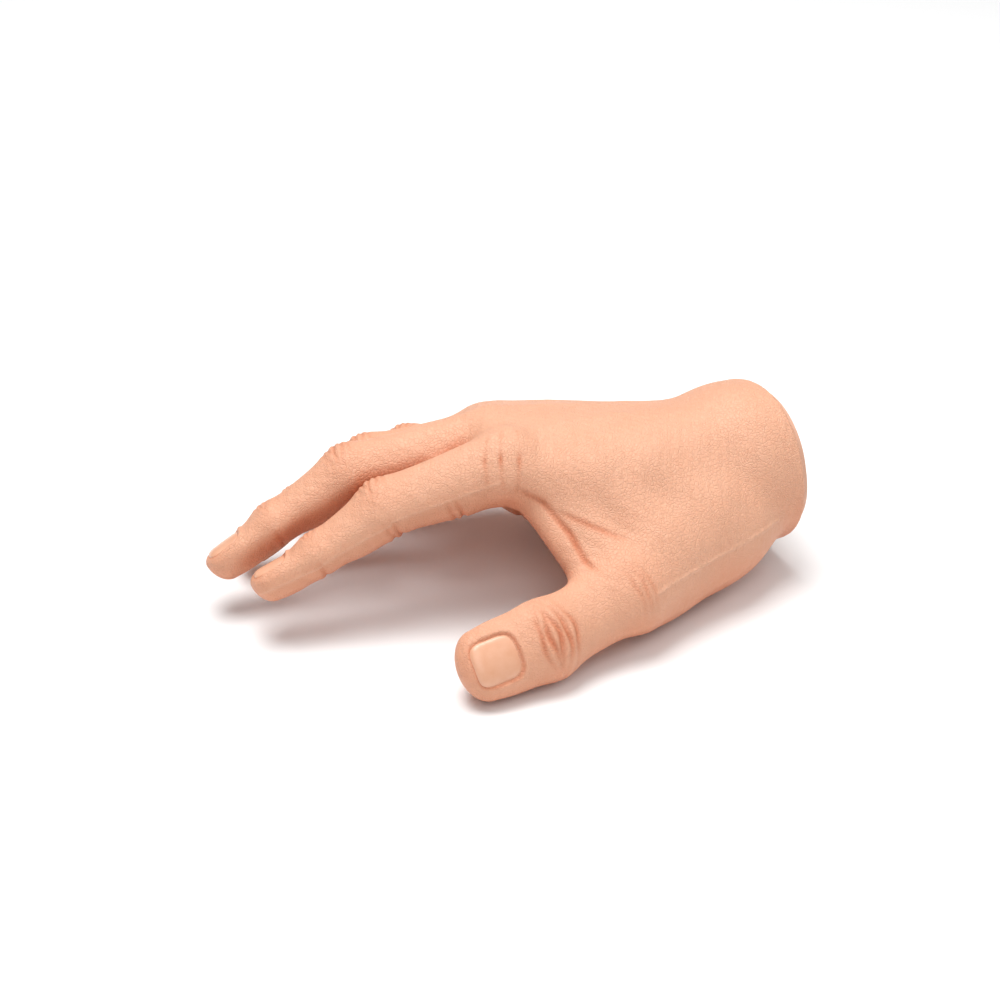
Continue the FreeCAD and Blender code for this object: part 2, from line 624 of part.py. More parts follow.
def palm_soft(metal, plate, swing, thumb, bracket):
    """The palm's glove and the foam inside it."""
    straighter, further = KNUCKLE_TRAVEL
    ahead = sector(-90 - further / 2 - 1.5, 90 + straighter / 2 + 1.5, FAR)
    inner = palm_loft(GLOVE_WALL)
    outer = palm_loft(0.0)
    outer = outer.cut(placed(rod(AXLE_HEAD + HEAD_GAP, -FAR, FAR), AXLE)).cut(placed(ahead, AXLE))
    glove = thumb_sweep(outer.cut(inner), swing, thumb)
    foam = inner.cut(placed(rod(AXLE_HEAD + 2 * HEAD_GAP, -FAR, FAR), AXLE)).cut(placed(ahead, AXLE))
    foam = thumb_sweep(foam, swing, thumb)
    foam = foam.cut(box(-PLATE_DEPTH, 20, -FAR, FAR, -FAR, FAR))
    for part in [metal, bracket, insert_body(0.05), thumb_pivot(swing)]:
        foam = foam.cut(part)
        glove = glove.cut(part)
    for y, z in screw_places():
        foam = foam.cut(Part.makeCylinder(SCREW_RADIUS, 20, Vector(-20, y, z), Vector(1, 0, 0)))
    return largest(glove.cut(plate)), largest(foam)


def palm_parts(thumb, swing):
    """The palm's solids by node name."""
    beam = beam_frame()
    metal = palm_metal(beam, swing)
    bracket = largest(thumb_bracket(swing).cut(metal).cut(insert_body(0.05)))
    plate = wrist_plate()
    glove, foam = palm_soft(metal, plate, swing, thumb, bracket)
    made = {
        "palm_glove": glove,
        "palm_foam": foam,
        "palm_frame": metal,
        "thumb_bracket": bracket,
        "thumb_pivot": thumb_pivot(swing),
        "wrist_plate": plate,
        "thread_insert": threaded_insert(),
        "knuckle_axle": placed(rod(AXLE_RADIUS, -NUT_PLACE - NUT_LENGTH, NUT_PLACE + NUT_LENGTH), AXLE),
        "axle_nut_1": axle_nut(NUT_PLACE),
        "axle_nut_2": axle_nut(-NUT_PLACE - NUT_LENGTH),
    }
    for i, (y, z) in enumerate(screw_places()):
        made[f"wrist_screw_{i + 1}"] = wrist_screw(y, z)
    return made


def main():
    """Builds every solid and writes one STEP file for each."""
    os.makedirs(PARTS, exist_ok=True)
    thumb = thumb_frames()
    swing = swing_frame(thumb)
    solids = palm_parts(thumb, swing)
    solids.update(base_gloves())
    for name in NAMES:
        solids[f"{name}_base_link"] = base_link(name)
        solids.update(finger_outer(name))
    solids.update(thumb_parts(thumb, swing))
    for node, shape in solids.items():
        shape.exportStep(os.path.join(PARTS, node + ".step"))


main()
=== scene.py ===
import json
import logging
import math
from dataclasses import dataclass, field
from enum import Enum
from typing import Optional, Sequence

import bpy
import numpy as np
from mathutils import Matrix, Vector


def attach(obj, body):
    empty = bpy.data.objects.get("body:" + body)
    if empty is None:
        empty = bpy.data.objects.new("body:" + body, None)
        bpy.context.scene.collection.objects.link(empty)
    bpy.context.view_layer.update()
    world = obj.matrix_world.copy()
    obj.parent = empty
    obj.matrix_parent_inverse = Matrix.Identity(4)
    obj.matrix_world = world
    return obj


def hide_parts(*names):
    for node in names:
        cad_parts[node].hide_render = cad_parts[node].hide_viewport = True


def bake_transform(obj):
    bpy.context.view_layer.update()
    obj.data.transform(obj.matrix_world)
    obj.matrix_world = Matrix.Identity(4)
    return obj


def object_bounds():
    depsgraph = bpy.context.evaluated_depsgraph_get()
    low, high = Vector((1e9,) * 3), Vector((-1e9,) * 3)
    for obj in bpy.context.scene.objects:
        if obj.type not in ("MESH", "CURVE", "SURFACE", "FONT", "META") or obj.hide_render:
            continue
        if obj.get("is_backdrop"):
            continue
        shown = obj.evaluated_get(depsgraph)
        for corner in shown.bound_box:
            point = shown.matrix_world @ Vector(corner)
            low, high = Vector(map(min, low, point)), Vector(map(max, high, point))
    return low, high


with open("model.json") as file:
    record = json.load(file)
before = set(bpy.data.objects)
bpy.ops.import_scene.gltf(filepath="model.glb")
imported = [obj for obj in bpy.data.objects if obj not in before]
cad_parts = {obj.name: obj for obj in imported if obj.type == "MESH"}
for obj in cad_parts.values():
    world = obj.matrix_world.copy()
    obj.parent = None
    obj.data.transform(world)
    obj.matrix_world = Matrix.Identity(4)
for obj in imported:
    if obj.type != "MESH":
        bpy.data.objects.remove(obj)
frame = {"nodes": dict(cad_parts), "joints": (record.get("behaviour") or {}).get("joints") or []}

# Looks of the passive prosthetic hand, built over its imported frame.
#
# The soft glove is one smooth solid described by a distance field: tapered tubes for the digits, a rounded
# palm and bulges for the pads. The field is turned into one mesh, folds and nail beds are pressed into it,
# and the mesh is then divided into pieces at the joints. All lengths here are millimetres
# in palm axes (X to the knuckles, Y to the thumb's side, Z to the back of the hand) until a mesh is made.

log = logging.getLogger("prosthetic_hand")

Array = np.ndarray

WRIST_BEND = 18.0  # degrees between the forearm and the hand, seen from above
PALM_ROLL = 22.0  # degrees that the palm leans to the little finger's side
PALM_PITCH = 6.5  # degrees that the knuckles stand above the wrist
GLOVE_END = -2.5  # where the glove stops, measured from the wrist plate's face
PALM_START = -6.5  # the palm axes start this far in front of the wrist plate's face
WRIST_HALF = (30.5, 28.0)  # half width and half height of the wrist oval
GRID = 1.1  # spacing of the grid that the skin is meshed on
SETTLE_ROUNDS = 14  # rounds that bring a drawn line onto the skin


# ---------------------------------------------------------------------------------------------------------
# Frames
# ---------------------------------------------------------------------------------------------------------
def unit(v: Sequence[float]) -> Array:
    """A direction of length one."""
    v = np.asarray(v, float)
    return v / np.linalg.norm(v)


@dataclass(frozen=True)
class Axes:
    """A right-handed set of axes with an origin.

    Attributes:
        origin: where the axes start.
        basis: rows are the X, Y and Z directions.
    """

    origin: Array
    basis: Array

    @staticmethod
    def along(origin: Sequence[float], forward: Sequence[float], side: Sequence[float]) -> "Axes":
        """Axes with Y along side and X as near to forward as it can be.

        Args:
            origin: where the axes start.
            forward: the direction that X leans to.
            side: the direction of Y.

        Returns:
            The axes.
        """
        y = unit(side)
        x = np.asarray(forward, float)
        x = unit(x - y * (x @ y))
        return Axes(np.asarray(origin, float), np.array([x, y, np.cross(x, y)]))

    def inside(self, points: Array) -> Array:
        """Points given in these axes."""
        return (points - self.origin) @ self.basis.T

    def outside(self, points: Array) -> Array:
        """Points of these axes given in the outer axes."""
        return np.asarray(points, float) @ self.basis + self.origin

    def way(self, direction: Sequence[float]) -> Array:
        """A direction of these axes given in the outer axes."""
        return np.asarray(direction, float) @ self.basis


def palm_axes() -> Axes:
    """Palm axes in the row frame, in millimetres.

    Returns:
        The axes.
    """
    roll, pitch, bend = (math.radians(a) for a in (PALM_ROLL, PALM_PITCH, WRIST_BEND))
    turn = np.array([[math.cos(bend), -math.sin(bend), 0], [math.sin(bend), math.cos(bend), 0], [0, 0, 1]])
    forward = np.array([-math.cos(pitch), 0, math.sin(pitch)]) @ turn
    side = np.array([0, -math.cos(roll), math.sin(roll)]) @ turn
    return Axes.along((PALM_START, 0, 0), forward, side)


PALM = palm_axes()
JOINTS = {j["name"]: j for j in frame["joints"]}


def joint_place(name: str) -> Array:
    """A joint's centre in palm axes."""
    return PALM.inside(np.array(JOINTS[name]["pos_m"]) * 1000.0)


def joint_axis(name: str) -> Array:
    """A joint's axis in palm axes."""
    return PALM.basis @ np.array(JOINTS[name]["axis"], float)


# ---------------------------------------------------------------------------------------------------------
# Distance field
# ---------------------------------------------------------------------------------------------------------
def join(a: Array, b: Array, reach: Array | float) -> Array:
    """Smooth union of two fields, rounded over the given reach.

    Args:
        a: one field's values.
        b: the other's.
        reach: how far the rounding goes.

    Returns:
        The joined field's values.
    """
    k = np.maximum(reach, 1e-4)
    h = np.maximum(k - np.abs(a - b), 0.0) / k
    return np.minimum(a, b) - h * h * h * k / 6.0


def carve(a: Array, b: Array, reach: float) -> Array:
    """Smooth intersection of two fields."""
    return -join(-a, -b, reach)


def ramp(x: Array, start: float, end: float) -> Array:
    """0 before start, 1 after end, smooth between."""
    t = np.clip((x - start) / (end - start), 0.0, 1.0)
    return t * t * (3.0 - 2.0 * t)


def bell(x: Array, width: float) -> Array:
    """A bell curve of height one."""
    return np.exp(-((x / width) ** 2))


def rounded_block(place: tuple[Array, Array, Array], half: tuple[Array, Array, float], power: float) -> Array:
    """Distance from a block with bulging sides and rounded edges.

    Args:
        place: how far out each point is along the three directions, 1 at the side.
        half: the block's half lengths.
        power: 2 for an ellipsoid, more for a squarer block.

    Returns:
        Distances, negative inside.
    """
    a, b, c = place
    r = (a**power + b**power + c**power + 1e-9) ** (1 / power)
    less = power - 1
    steep = np.sqrt((a**less / half[0]) ** 2 + (b**less / half[1]) ** 2 + (c**less / half[2]) ** 2)
    return (r - 1.0) * r**less / (steep + 1e-9)


@dataclass(frozen=True)
class Profile:
    """A digit's section along its length: half width, height of the back and depth of the pad.

    Attributes:
        at: places, counted in joints from the digit's root.
        half_width: half the width at those places.
        back: height of the back above the joint line.
        pad: depth of the pad below it.
    """

    at: Sequence[float]
    half_width: Sequence[float]
    back: Sequence[float]
    pad: Sequence[float]

    def scaled(self, width: float, height: float) -> "Profile":
        """A slimmer or thicker digit of the same shape.

        Args:
            width: the factor on the widths.
            height: the factor on the heights and depths.

        Returns:
            The scaled section.
        """
        return Profile(
            self.at,
            [w * width for w in self.half_width],
            [h * height for h in self.back],
            [d * height for d in self.pad],
        )

    def sample(self, u: Array, values: Sequence[float]) -> Array:
        """Values at u, smoothed between the stations with a cubic.

        Args:
            u: places along the digit, in joints.
            values: what is given at the stations.

        Returns:
            The values at those places.
        """
        at = np.asarray(self.at, float)
        val = np.asarray(values, float)
        slope = np.gradient(val, at)
        i = np.clip(np.searchsorted(at, u) - 1, 0, len(at) - 2)
        span = at[i + 1] - at[i]
        t = np.clip((u - at[i]) / span, 0.0, 1.0)
        t2, t3 = t * t, t * t * t
        return (
            (2 * t3 - 3 * t2 + 1) * val[i]
            + (t3 - 2 * t2 + t) * span * slope[i]
            + (3 * t2 - 2 * t3) * val[i + 1]
            + (t3 - t2) * span * slope[i + 1]
        )


@dataclass
class Digit:
    """A finger or the thumb: a chain of bones with its section along them.

    Attributes:
        name: the digit's name.
        points: joint centres and the digit's end.
        sides: the hinge direction of each bone.
        profile: the section along the chain.
        cap: length of the rounded end beyond the last bone.
        blend: rounding between neighbouring bones.
    """

    name: str
    points: list[Array]
    sides: list[Array]
    profile: Profile
    cap: float
    blend: float = 5.0
    bones: list[Axes] = field(default_factory=list)
    lengths: list[float] = field(default_factory=list)

    def __post_init__(self) -> None:
        """Lays a bone between each two joints."""
        for start, end, side in zip(self.points, self.points[1:], self.sides):
            self.bones.append(Axes.along(start, end - start, side))
            self.lengths.append(float(np.linalg.norm(end - start)))

    def bone_field(self, p: Array, k: int) -> Array:
        """Distance from one bone's flesh.

        Args:
            p: points in palm axes.
            k: the bone's number from the root.

        Returns:
            Distances, negative inside.
        """
        q = self.bones[k].inside(p)
        length = self.lengths[k]
        last = k == len(self.bones) - 1
        stop = length - self.cap if last else length
        x = np.clip(q[:, 0], 0.0, stop)
        u = k + x / length
        width = self.profile.sample(u, self.profile.half_width)
        height = np.where(
            q[:, 2] > 0, self.profile.sample(u, self.profile.back), self.profile.sample(u, self.profile.pad)
        )
        over = q[:, 0] - x
        end = np.where((over > 0) & last, self.cap, np.minimum(width, height))
        a, b, c = q[:, 1] / width, q[:, 2] / height, over / end
        r = np.sqrt(a * a + b * b + c * c) + 1e-9
        steep = np.sqrt((a / width) ** 2 + (b / height) ** 2 + (c / end) ** 2) + 1e-9
        return (r - 1.0) * r / steep

    def distance(self, p: Array) -> Array:
        """Distance from the digit's flesh.

        Args:
            p: points in palm axes.

        Returns:
            Distances, negative inside.
        """
        d = self.bone_field(p, 0)
        for k in range(1, len(self.bones)):
            d = join(d, self.bone_field(p, k), self.blend)
        return d


@dataclass(frozen=True)
class Bulge:
    """An ellipsoid of flesh.

    Attributes:
        axes: its centre and directions.
        radii: half lengths along them.
    """

    axes: Axes
    radii: tuple[float, float, float]

    def distance(self, p: Array) -> Array:
        """Distance from the ellipsoid.

        Args:
            p: points in palm axes.

        Returns:
            Distances, negative inside.
        """
        q = self.axes.inside(p) / np.array(self.radii)
        r = np.sqrt((q * q).sum(1)) + 1e-9
        steep = np.sqrt(((q / np.array(self.radii)) ** 2).sum(1)) + 1e-9
        return (r - 1.0) * r / steep


@dataclass(frozen=True)
class Rod:
    """A tapered round limb between two points.

    Attributes:
        start: one end.
        end: the other end.
        radii: its radius at the start and at the end.
    """

    start: Array
    end: Array
    radii: tuple[float, float]

    def distance(self, p: Array) -> Array:
        """Distance from the limb.

        Args:
            p: points in palm axes.

        Returns:
            Distances, negative inside.
        """
        d = self.end - self.start
        t = np.clip(((p - self.start) @ d) / (d @ d), 0.0, 1.0)
        near = self.start + t[:, None] * d
        return np.linalg.norm(p - near, axis=1) - (self.radii[0] + (self.radii[1] - self.radii[0]) * t)


FINGER = Profile(
    at=(0.0, 0.3, 0.6, 0.85, 1.0, 1.2, 1.5, 1.8, 2.0, 2.2, 2.5, 2.75, 3.0),
    half_width=(10.0, 9.7, 9.2, 9.2, 9.5, 9.1, 8.5, 8.3, 8.5, 8.3, 8.0, 7.5, 6.4),
    back=(12.0, 11.2, 10.6, 10.6, 10.8, 9.6, 8.0, 6.9, 6.5, 5.4, 4.2, 3.8, 3.4),
    pad=(12.0, 11.2, 10.2, 8.9, 8.4, 9.0, 9.0, 7.8, 7.3, 8.0, 8.6, 8.2, 7.0),
)
THUMB = Profile(
    at=(0.0, 0.5, 0.85, 1.0, 1.25, 1.6, 1.85, 2.0, 2.3, 2.6, 2.85, 3.0),
    half_width=(15.0, 14.5, 13.4, 13.0, 12.2, 11.8, 12.2, 12.6, 12.7, 12.3, 11.0, 9.6),
    back=(13.0, 12.0, 11.4, 11.4, 10.2, 9.2, 9.4, 9.8, 8.4, 6.8, 5.8, 5.0),
    pad=(16.0, 15.0, 12.6, 11.4, 10.6, 10.0, 9.4, 9.0, 9.8, 9.8, 8.8, 7.6),
)
NAMES = ("index", "middle", "ring", "little")
FINGER_SCALE = {"index": (1.0, 1.0), "middle": (1.0, 1.02), "ring": (0.96, 0.96), "little": (0.87, 0.87)}
ROOTS = {
    "index": (86.8, 30.5, 2.0),
    "middle": (89.7, 8.5, 5.5),
    "ring": (84.6, -12.2, 4.4),
    "little": (77.3, -30.7, 0.4),
}
TIP_LENGTH = {"index": 24.0, "middle": 26.0, "ring": 26.0, "little": 23.0}
TIP_SLOPE = {"index": 28.4, "middle": 35.4, "ring": 41.0, "little": 36.7}


def finger(name: str) -> Digit:
    """A finger on the frame's hinges.

    Args:
        name: the finger's name.

    Returns:
        The finger.
    """
    side = joint_axis(f"{name}_tip_hinge")
    middle, tip = joint_place(f"{name}_middle_hinge"), joint_place(f"{name}_tip_hinge")
    flat = unit(np.cross(side, (0, 0, 1)))
    down = math.radians(TIP_SLOPE[name])
    back = np.cross(flat, side)
    end = tip + TIP_LENGTH[name] * (flat * math.cos(down) - back * math.sin(down))
    points = [np.array(ROOTS[name], float), middle, tip, end]
    return Digit(name, points, [side] * 3, FINGER.scaled(*FINGER_SCALE[name]), cap=6.2)


def thumb() -> Digit:
    """The thumb on the frame's hinges.

    Returns:
        The thumb.
    """
    root, middle, tip = (joint_place(f"thumb_{n}") for n in ("swing", "middle_hinge", "tip_hinge"))
    end = np.array((106.6, 68.4, -60.3))
    back = unit((-0.22, 0.93, 0.29))
    points = [root, middle, tip, end]
    sides = [unit(np.cross(back, b - a)) for a, b in zip(points, points[1:])]
    return Digit("thumb", points, sides, THUMB, cap=8.0, blend=7.0)


@dataclass
class Flesh:
    """The whole glove's distance field.

    Attributes:
        stations: places along the palm where its section is given.
        half_width: half the palm's width at those places.
        back: height of the palm's back.
        pad: depth of the palm's pad.
        shift: how far the section lies to the thumb's side.
        rise: how far the section is lifted.
        arch: how far the palm's middle is arched at the knuckles.
        wrist_join: rounding between the palm and the wrist.
        heel_join: rounding round the heel of the little finger's side.
        pad_join: rounding round the thumb's pads.
        finger_join: rounding between the palm and the fingers.
        between: rounding between the fingers' bases.
        web_join: rounding round the webs between the fingers.
        thumb_join: rounding between the palm and the thumb.
        thumb_web_join: rounding round the thumb's web.
        rim: rounding of the glove's edge at the wrist.
    """

    stations: tuple[float, ...] = (10.0, 24.0, 46.0, 68.0, 84.0, 95.0)
    half_width: tuple[float, ...] = (27.5, 31.0, 36.0, 39.5, 40.5, 40.5)
    back: tuple[float, ...] = (24.0, 21.5, 18.5, 16.5, 14.0, 12.5)
    pad: tuple[float, ...] = (23.0, 23.0, 21.5, 19.5, 17.0, 14.0)
    shift: tuple[float, ...] = (1.0, 2.0, 2.0, 1.0, 0.0, 0.0)
    rise: tuple[float, ...] = (-1.0, -2.0, -2.0, -1.0, 0.0, 0.0)
    arch: float = 4.5
    wrist_join: float = 12.0
    heel_join: float = 9.0
    pad_join: float = 10.0
    finger_join: float = 7.0
    between: float = 6.5
    web_join: float = 6.0
    thumb_join: float = 12.0
    thumb_web_join: float = 9.0
    rim: float = 1.2

    def __post_init__(self) -> None:
        """Places the digits, the pads and the webs."""
        self.digits = {name: finger(name) for name in NAMES}
        self.digits["thumb"] = thumb()
        first = self.digits["thumb"].bones[0]
        self.thenar = Bulge(Axes(np.array((34.0, 30.0, -30.0)), first.basis), (27.0, 17.0, 15.0))
        heel = Axes.along((46.0, -14.0, -14.0), (1, -0.12, 0.06), (0.12, 1, 0))
        self.hypothenar = Bulge(heel, (42.0, 20.0, 15.0))
        root = Axes.along((20.0, 22.0, -25.0), (1, 0.4, -0.35), (0, 1, 0.3))
        self.thumb_root = Bulge(root, (27.0, 19.0, 17.0))
        self.stub = Axes.along(
            PALM.inside(np.zeros(3)), PALM.basis @ (-1.0, 0, 0), PALM.basis @ unit((0, *PALM.basis[1][1:]))
        )
        self.webs = self.finger_webs()
        self.thumb_web = [
            Rod(np.array((80.0, 32.0, -10.0)), np.array((60.0, 47.0, -36.0)), (4.5, 5.5)),
            Rod(np.array((72.0, 31.0, -6.0)), np.array((52.0, 43.0, -30.0)), (7.5, 8.0)),
            Rod(np.array((58.0, 30.0, -4.0)), np.array((40.0, 37.0, -21.0)), (10.5, 10.5)),
            Rod(np.array((42.0, 27.0, -2.0)), np.array((24.0, 29.0, -15.0)), (11.5, 12.0)),
        ]

    def finger_webs(self) -> list[Rod]:
        """Flesh between neighbouring finger bases.

        Returns:
            A short rod for each web.
        """
        rods = []
        sink = (0, 0, -3.5)
        pairs = (("index", "middle", 0.40), ("middle", "ring", 0.42), ("ring", "little", 0.46))
        for first, second, out in pairs:
            ends = []
            for name in (first, second):
                root, middle = self.digits[name].points[:2]
                ends.append(root + (middle - root) * out + sink)
            rods.append(Rod(ends[0], ends[1], (6.0, 6.0)))
        return rods

    def palm(self, p: Array) -> Array:
        """Distance from the palm's main mass.

        Args:
            p: points in palm axes.

        Returns:
            Distances, negative inside.
        """
        x = np.clip(p[:, 0], 6.0, 88.0)
        half, back, pad, shift, rise = (
            np.interp(x, self.stations, values)
            for values in (self.half_width, self.back, self.pad, self.shift, self.rise)
        )
        y = p[:, 1] - shift
        z = p[:, 2] - rise - self.arch * np.clip(x / 90.0, 0, 1) * (1.0 - (y / 33.0) ** 2)
        height = np.where(z > 0, back, pad)
        cap = 12.0
        over = np.abs((p[:, 0] - x) / cap)
        return rounded_block((np.abs(y) / half, np.abs(z) / height, over), (half, height, cap), 2.35)

    def wrist(self, p: Array) -> Array:
        """Distance from the wrist's oval stub.

        Args:
            p: points in palm axes.

        Returns:
            Distances, negative inside.
        """
        q = self.stub.inside(p)
        half, tall = WRIST_HALF
        cap = 20.0
        over = np.maximum(q[:, 0] - 10.0, 0.0) / cap
        place = (np.abs(q[:, 1]) / half, np.abs(q[:, 2]) / tall, over)
        return rounded_block(place, (half, tall, cap), 2.2)

    def distance(self, p: Array) -> Array:
        """Distance from the glove's surface.

        Args:
            p: points in palm axes.

        Returns:
            Distances, negative inside.
        """
        d = join(self.palm(p), self.wrist(p), self.wrist_join)
        d = join(d, self.hypothenar.distance(p), self.heel_join)
        d = join(d, self.thumb_root.distance(p), self.pad_join)
        d = join(d, self.thenar.distance(p), self.pad_join)
        # The fingers run together at their bases and stay apart further out.
        reach = self.between * (1.0 - ramp(p[:, 0] - 90.0, 14.0, 26.0)) + 0.02
        far = self.digits[NAMES[0]].distance(p)
        for name in NAMES[1:]:
            far = join(far, self.digits[name].distance(p), reach)
        for web in self.webs:
            far = join(far, web.distance(p), self.web_join)
        d = join(d, far, self.finger_join)
        d = join(d, self.digits["thumb"].distance(p), self.thumb_join)
        for rod in self.thumb_web:
            d = join(d, rod.distance(p), self.thumb_web_join)
        end = self.stub.inside(p)[:, 0]
        return carve(d, -end - GLOVE_END, self.rim)

    def slopes(self, p: Array, step: float = 0.12) -> Array:
        """Outward directions of the field at points.

        Args:
            p: points in palm axes.
            step: how far from each point the field is tried.

        Returns:
            Directions of length one.
        """
        tips = step * np.array([[1, -1, -1], [-1, -1, 1], [-1, 1, -1], [1, 1, 1]], float)
        total = sum(tip * self.distance(p + tip)[:, None] for tip in tips)
        return total / (np.linalg.norm(total, axis=1)[:, None] + 1e-12)


# ---------------------------------------------------------------------------------------------------------
# Meshing
# ---------------------------------------------------------------------------------------------------------
@dataclass
class Mesher:
    """Turns a distance field into an even mesh of quads.

    Attributes:
        flesh: the field.
        step: spacing of the grid.
        low: the grid's lowest corner.
        high: its highest corner.
        block: cells along each side of the blocks that are tried first.
        batch: points worked out at a time.
    """

    flesh: Flesh
    step: float
    low: tuple[float, float, float] = (-24.0, -60.0, -85.0)
    high: tuple[float, float, float] = (192.0, 84.0, 42.0)
    block: int = 4
    batch: int = 400000

    def __post_init__(self) -> None:
        """Counts the grid's points."""
        size = np.array(self.high) - np.array(self.low)
        self.count = (np.ceil(size / self.step / self.block).astype(int) + 1) * self.block

    def values(self) -> Array:
        """The field on the grid. Points far from the surface keep their block's rough value.

        Returns:
            The field's values, one for each grid point.
        """
        b = self.block
        low = np.array(self.low)
        coarse = self.count // b
        index = np.stack(np.meshgrid(*[np.arange(n) for n in coarse], indexing="ij"), -1).reshape(-1, 3)
        centre = low + (index * b + (b - 1) / 2.0) * self.step
        rough = self.flesh.distance(centre)
        near = np.abs(rough) < self.step * b * 1.6
        grid = np.repeat(np.repeat(np.repeat(rough.reshape(coarse), b, 0), b, 1), b, 2)
        corner = np.stack(np.meshgrid(*[np.arange(b)] * 3, indexing="ij"), -1).reshape(-1, 3)
        fine = (index[near][:, None, :] * b + corner[None]).reshape(-1, 3)
        for start in range(0, len(fine), self.batch):
            part = fine[start : start + self.batch]
            grid[part[:, 0], part[:, 1], part[:, 2]] = self.flesh.distance(low + part * self.step)
        return grid

    def build(self) -> tuple[Array, Array]:
        """Makes the surface with a vertex in each cell that it crosses.

        Returns:
            Vertices, and quads that face outwards.
        """
        grid = self.values()
        inside = grid < 0
        cells = np.array(grid.shape) - 1
        total = np.zeros((*cells, 3))
        hits = np.zeros(cells)
        for axis in range(3):
            one = [slice(None)] * 3
            two = [slice(None)] * 3
            one[axis], two[axis] = slice(0, -1), slice(1, None)
            a, b = grid[tuple(one)], grid[tuple(two)]
            cross = (a < 0) != (b < 0)
            at = np.argwhere(cross)
            t = a[cross] / (a[cross] - b[cross])
            point = at.astype(float)
            point[:, axis] += t
            others = [k for k in range(3) if k != axis]
            for i in (0, 1):
                for j in (0, 1):
                    cell = at.copy()
                    cell[:, others[0]] -= i
                    cell[:, others[1]] -= j
                    ok = ((cell >= 0) & (cell < cells)).all(1)
                    key = tuple(cell[ok].T)
                    np.add.at(total, key, point[ok])
                    np.add.at(hits, key, 1.0)
        used = hits > 0
        number = np.full(cells, -1)
        number[used] = np.arange(used.sum())
        verts = np.array(self.low) + total[used] / hits[used][:, None] * self.step
        quads = []
        for axis in range(3):
            one = [slice(None)] * 3
            two = [slice(None)] * 3
            one[axis], two[axis] = slice(0, -1), slice(1, None)
            first = inside[tuple(one)]
            at = np.argwhere(first != inside[tuple(two)])
            others = [k for k in range(3) if k != axis]
            at = at[(at[:, others[0]] > 0) & (at[:, others[1]] > 0)]
            at = at[(at[:, others[0]] < cells[others[0]]) & (at[:, others[1]] < cells[others[1]])]
            corners = []
            for i, j in ((1, 1), (0, 1), (0, 0), (1, 0)):
                cell = at.copy()
                cell[:, others[0]] -= i
                cell[:, others[1]] -= j
                corners.append(number[tuple(cell.T)])
            quad = np.stack(corners, 1)
            out = first[tuple(at.T)]
            if axis == 1:
                out = ~out
            quad[~out] = quad[~out][:, ::-1]
            quads.append(quad)
        faces = np.concatenate(quads)
        faces = faces[(faces >= 0).all(1)]
        return verts, faces


def subdivided(verts: Array, faces: Array) -> tuple[Array, Array]:
    """Each quad parted into four.

    Args:
        verts: the vertices.
        faces: the quads.

    Returns:
        The new vertices and quads.
    """
    edges = np.stack([faces, np.roll(faces, -1, 1)], -1).reshape(-1, 2)
    ordered = np.sort(edges, 1)
    unique, which = np.unique(ordered, axis=0, return_inverse=True)
    which = which.reshape(-1, 4)
    n, m = len(verts), len(unique)
    mids = verts[unique].mean(1)
    centres = verts[faces].mean(1)
    centre = n + m + np.arange(len(faces))
    made = []
    for k in range(4):
        made.append(np.stack([faces[:, k], n + which[:, k], centre, n + which[:, k - 1]], 1))
    return np.concatenate([verts, mids, centres]), np.concatenate(made)


def mesh_normals(verts: Array, faces: Array) -> Array:
    """Smooth vertex normals weighted by face area.

    Args:
        verts: the vertices.
        faces: the quads.

    Returns:
        Directions of length one.
    """
    a, b, c, d = (verts[faces[:, k]] for k in range(4))
    across = np.cross(c - a, d - b)
    total = np.zeros_like(verts)
    for k in range(4):
        for axis in range(3):
            total[:, axis] += np.bincount(faces[:, k], across[:, axis], len(verts))
    return total / (np.linalg.norm(total, axis=1)[:, None] + 1e-12)


def relaxed(verts: Array, faces: Array, rounds: int, keep: float = 0.5) -> Array:
    """Vertices moved towards the middle of their neighbours.

    Args:
        verts: the vertices.
        faces: the quads.
        rounds: how many times they move.
        keep: the share of its place that a vertex keeps.

    Returns:
        The moved vertices.
    """
    edges = np.concatenate([faces[:, [k, (k + 1) % 4]] for k in range(4)])
    edges = np.unique(np.sort(edges, 1), axis=0)
    n = len(verts)
    degree = np.bincount(edges.ravel(), minlength=n)[:, None]
    for _ in range(rounds):
        total = np.zeros_like(verts)
        for axis in range(3):
            total[:, axis] = np.bincount(edges[:, 0], verts[edges[:, 1], axis], n)
            total[:, axis] += np.bincount(edges[:, 1], verts[edges[:, 0], axis], n)
        verts = verts * keep + total / degree * (1 - keep)
    return verts


def settle(flesh: Flesh, verts: Array, rounds: int) -> Array:
    """Vertices brought onto the field's surface.

    Args:
        flesh: the field.
        verts: the vertices.
        rounds: how many times they move.

    Returns:
        The moved vertices.
    """
    for _ in range(rounds):
        verts = verts - flesh.slopes(verts) * np.clip(flesh.distance(verts), -0.6, 0.6)[:, None]
    return verts


# ---------------------------------------------------------------------------------------------------------
# Folds, creases and lines in the skin
# ---------------------------------------------------------------------------------------------------------
@dataclass(frozen=True)
class Fold:
    """A fold across a digit near a hinge.

    Attributes:
        bone: the bone whose axes it is given in.
        x: its place along that bone.
        sag: how far it bows towards the digit's end at the sides, per square millimetre.
        depth: its depth, negative for a ridge.
        width: its width.
        reach: how far it goes to each side.
        back: True on the back of the digit, False on the pad side.
    """

    bone: int
    x: float
    sag: float
    depth: float
    width: float
    reach: float
    back: bool = True


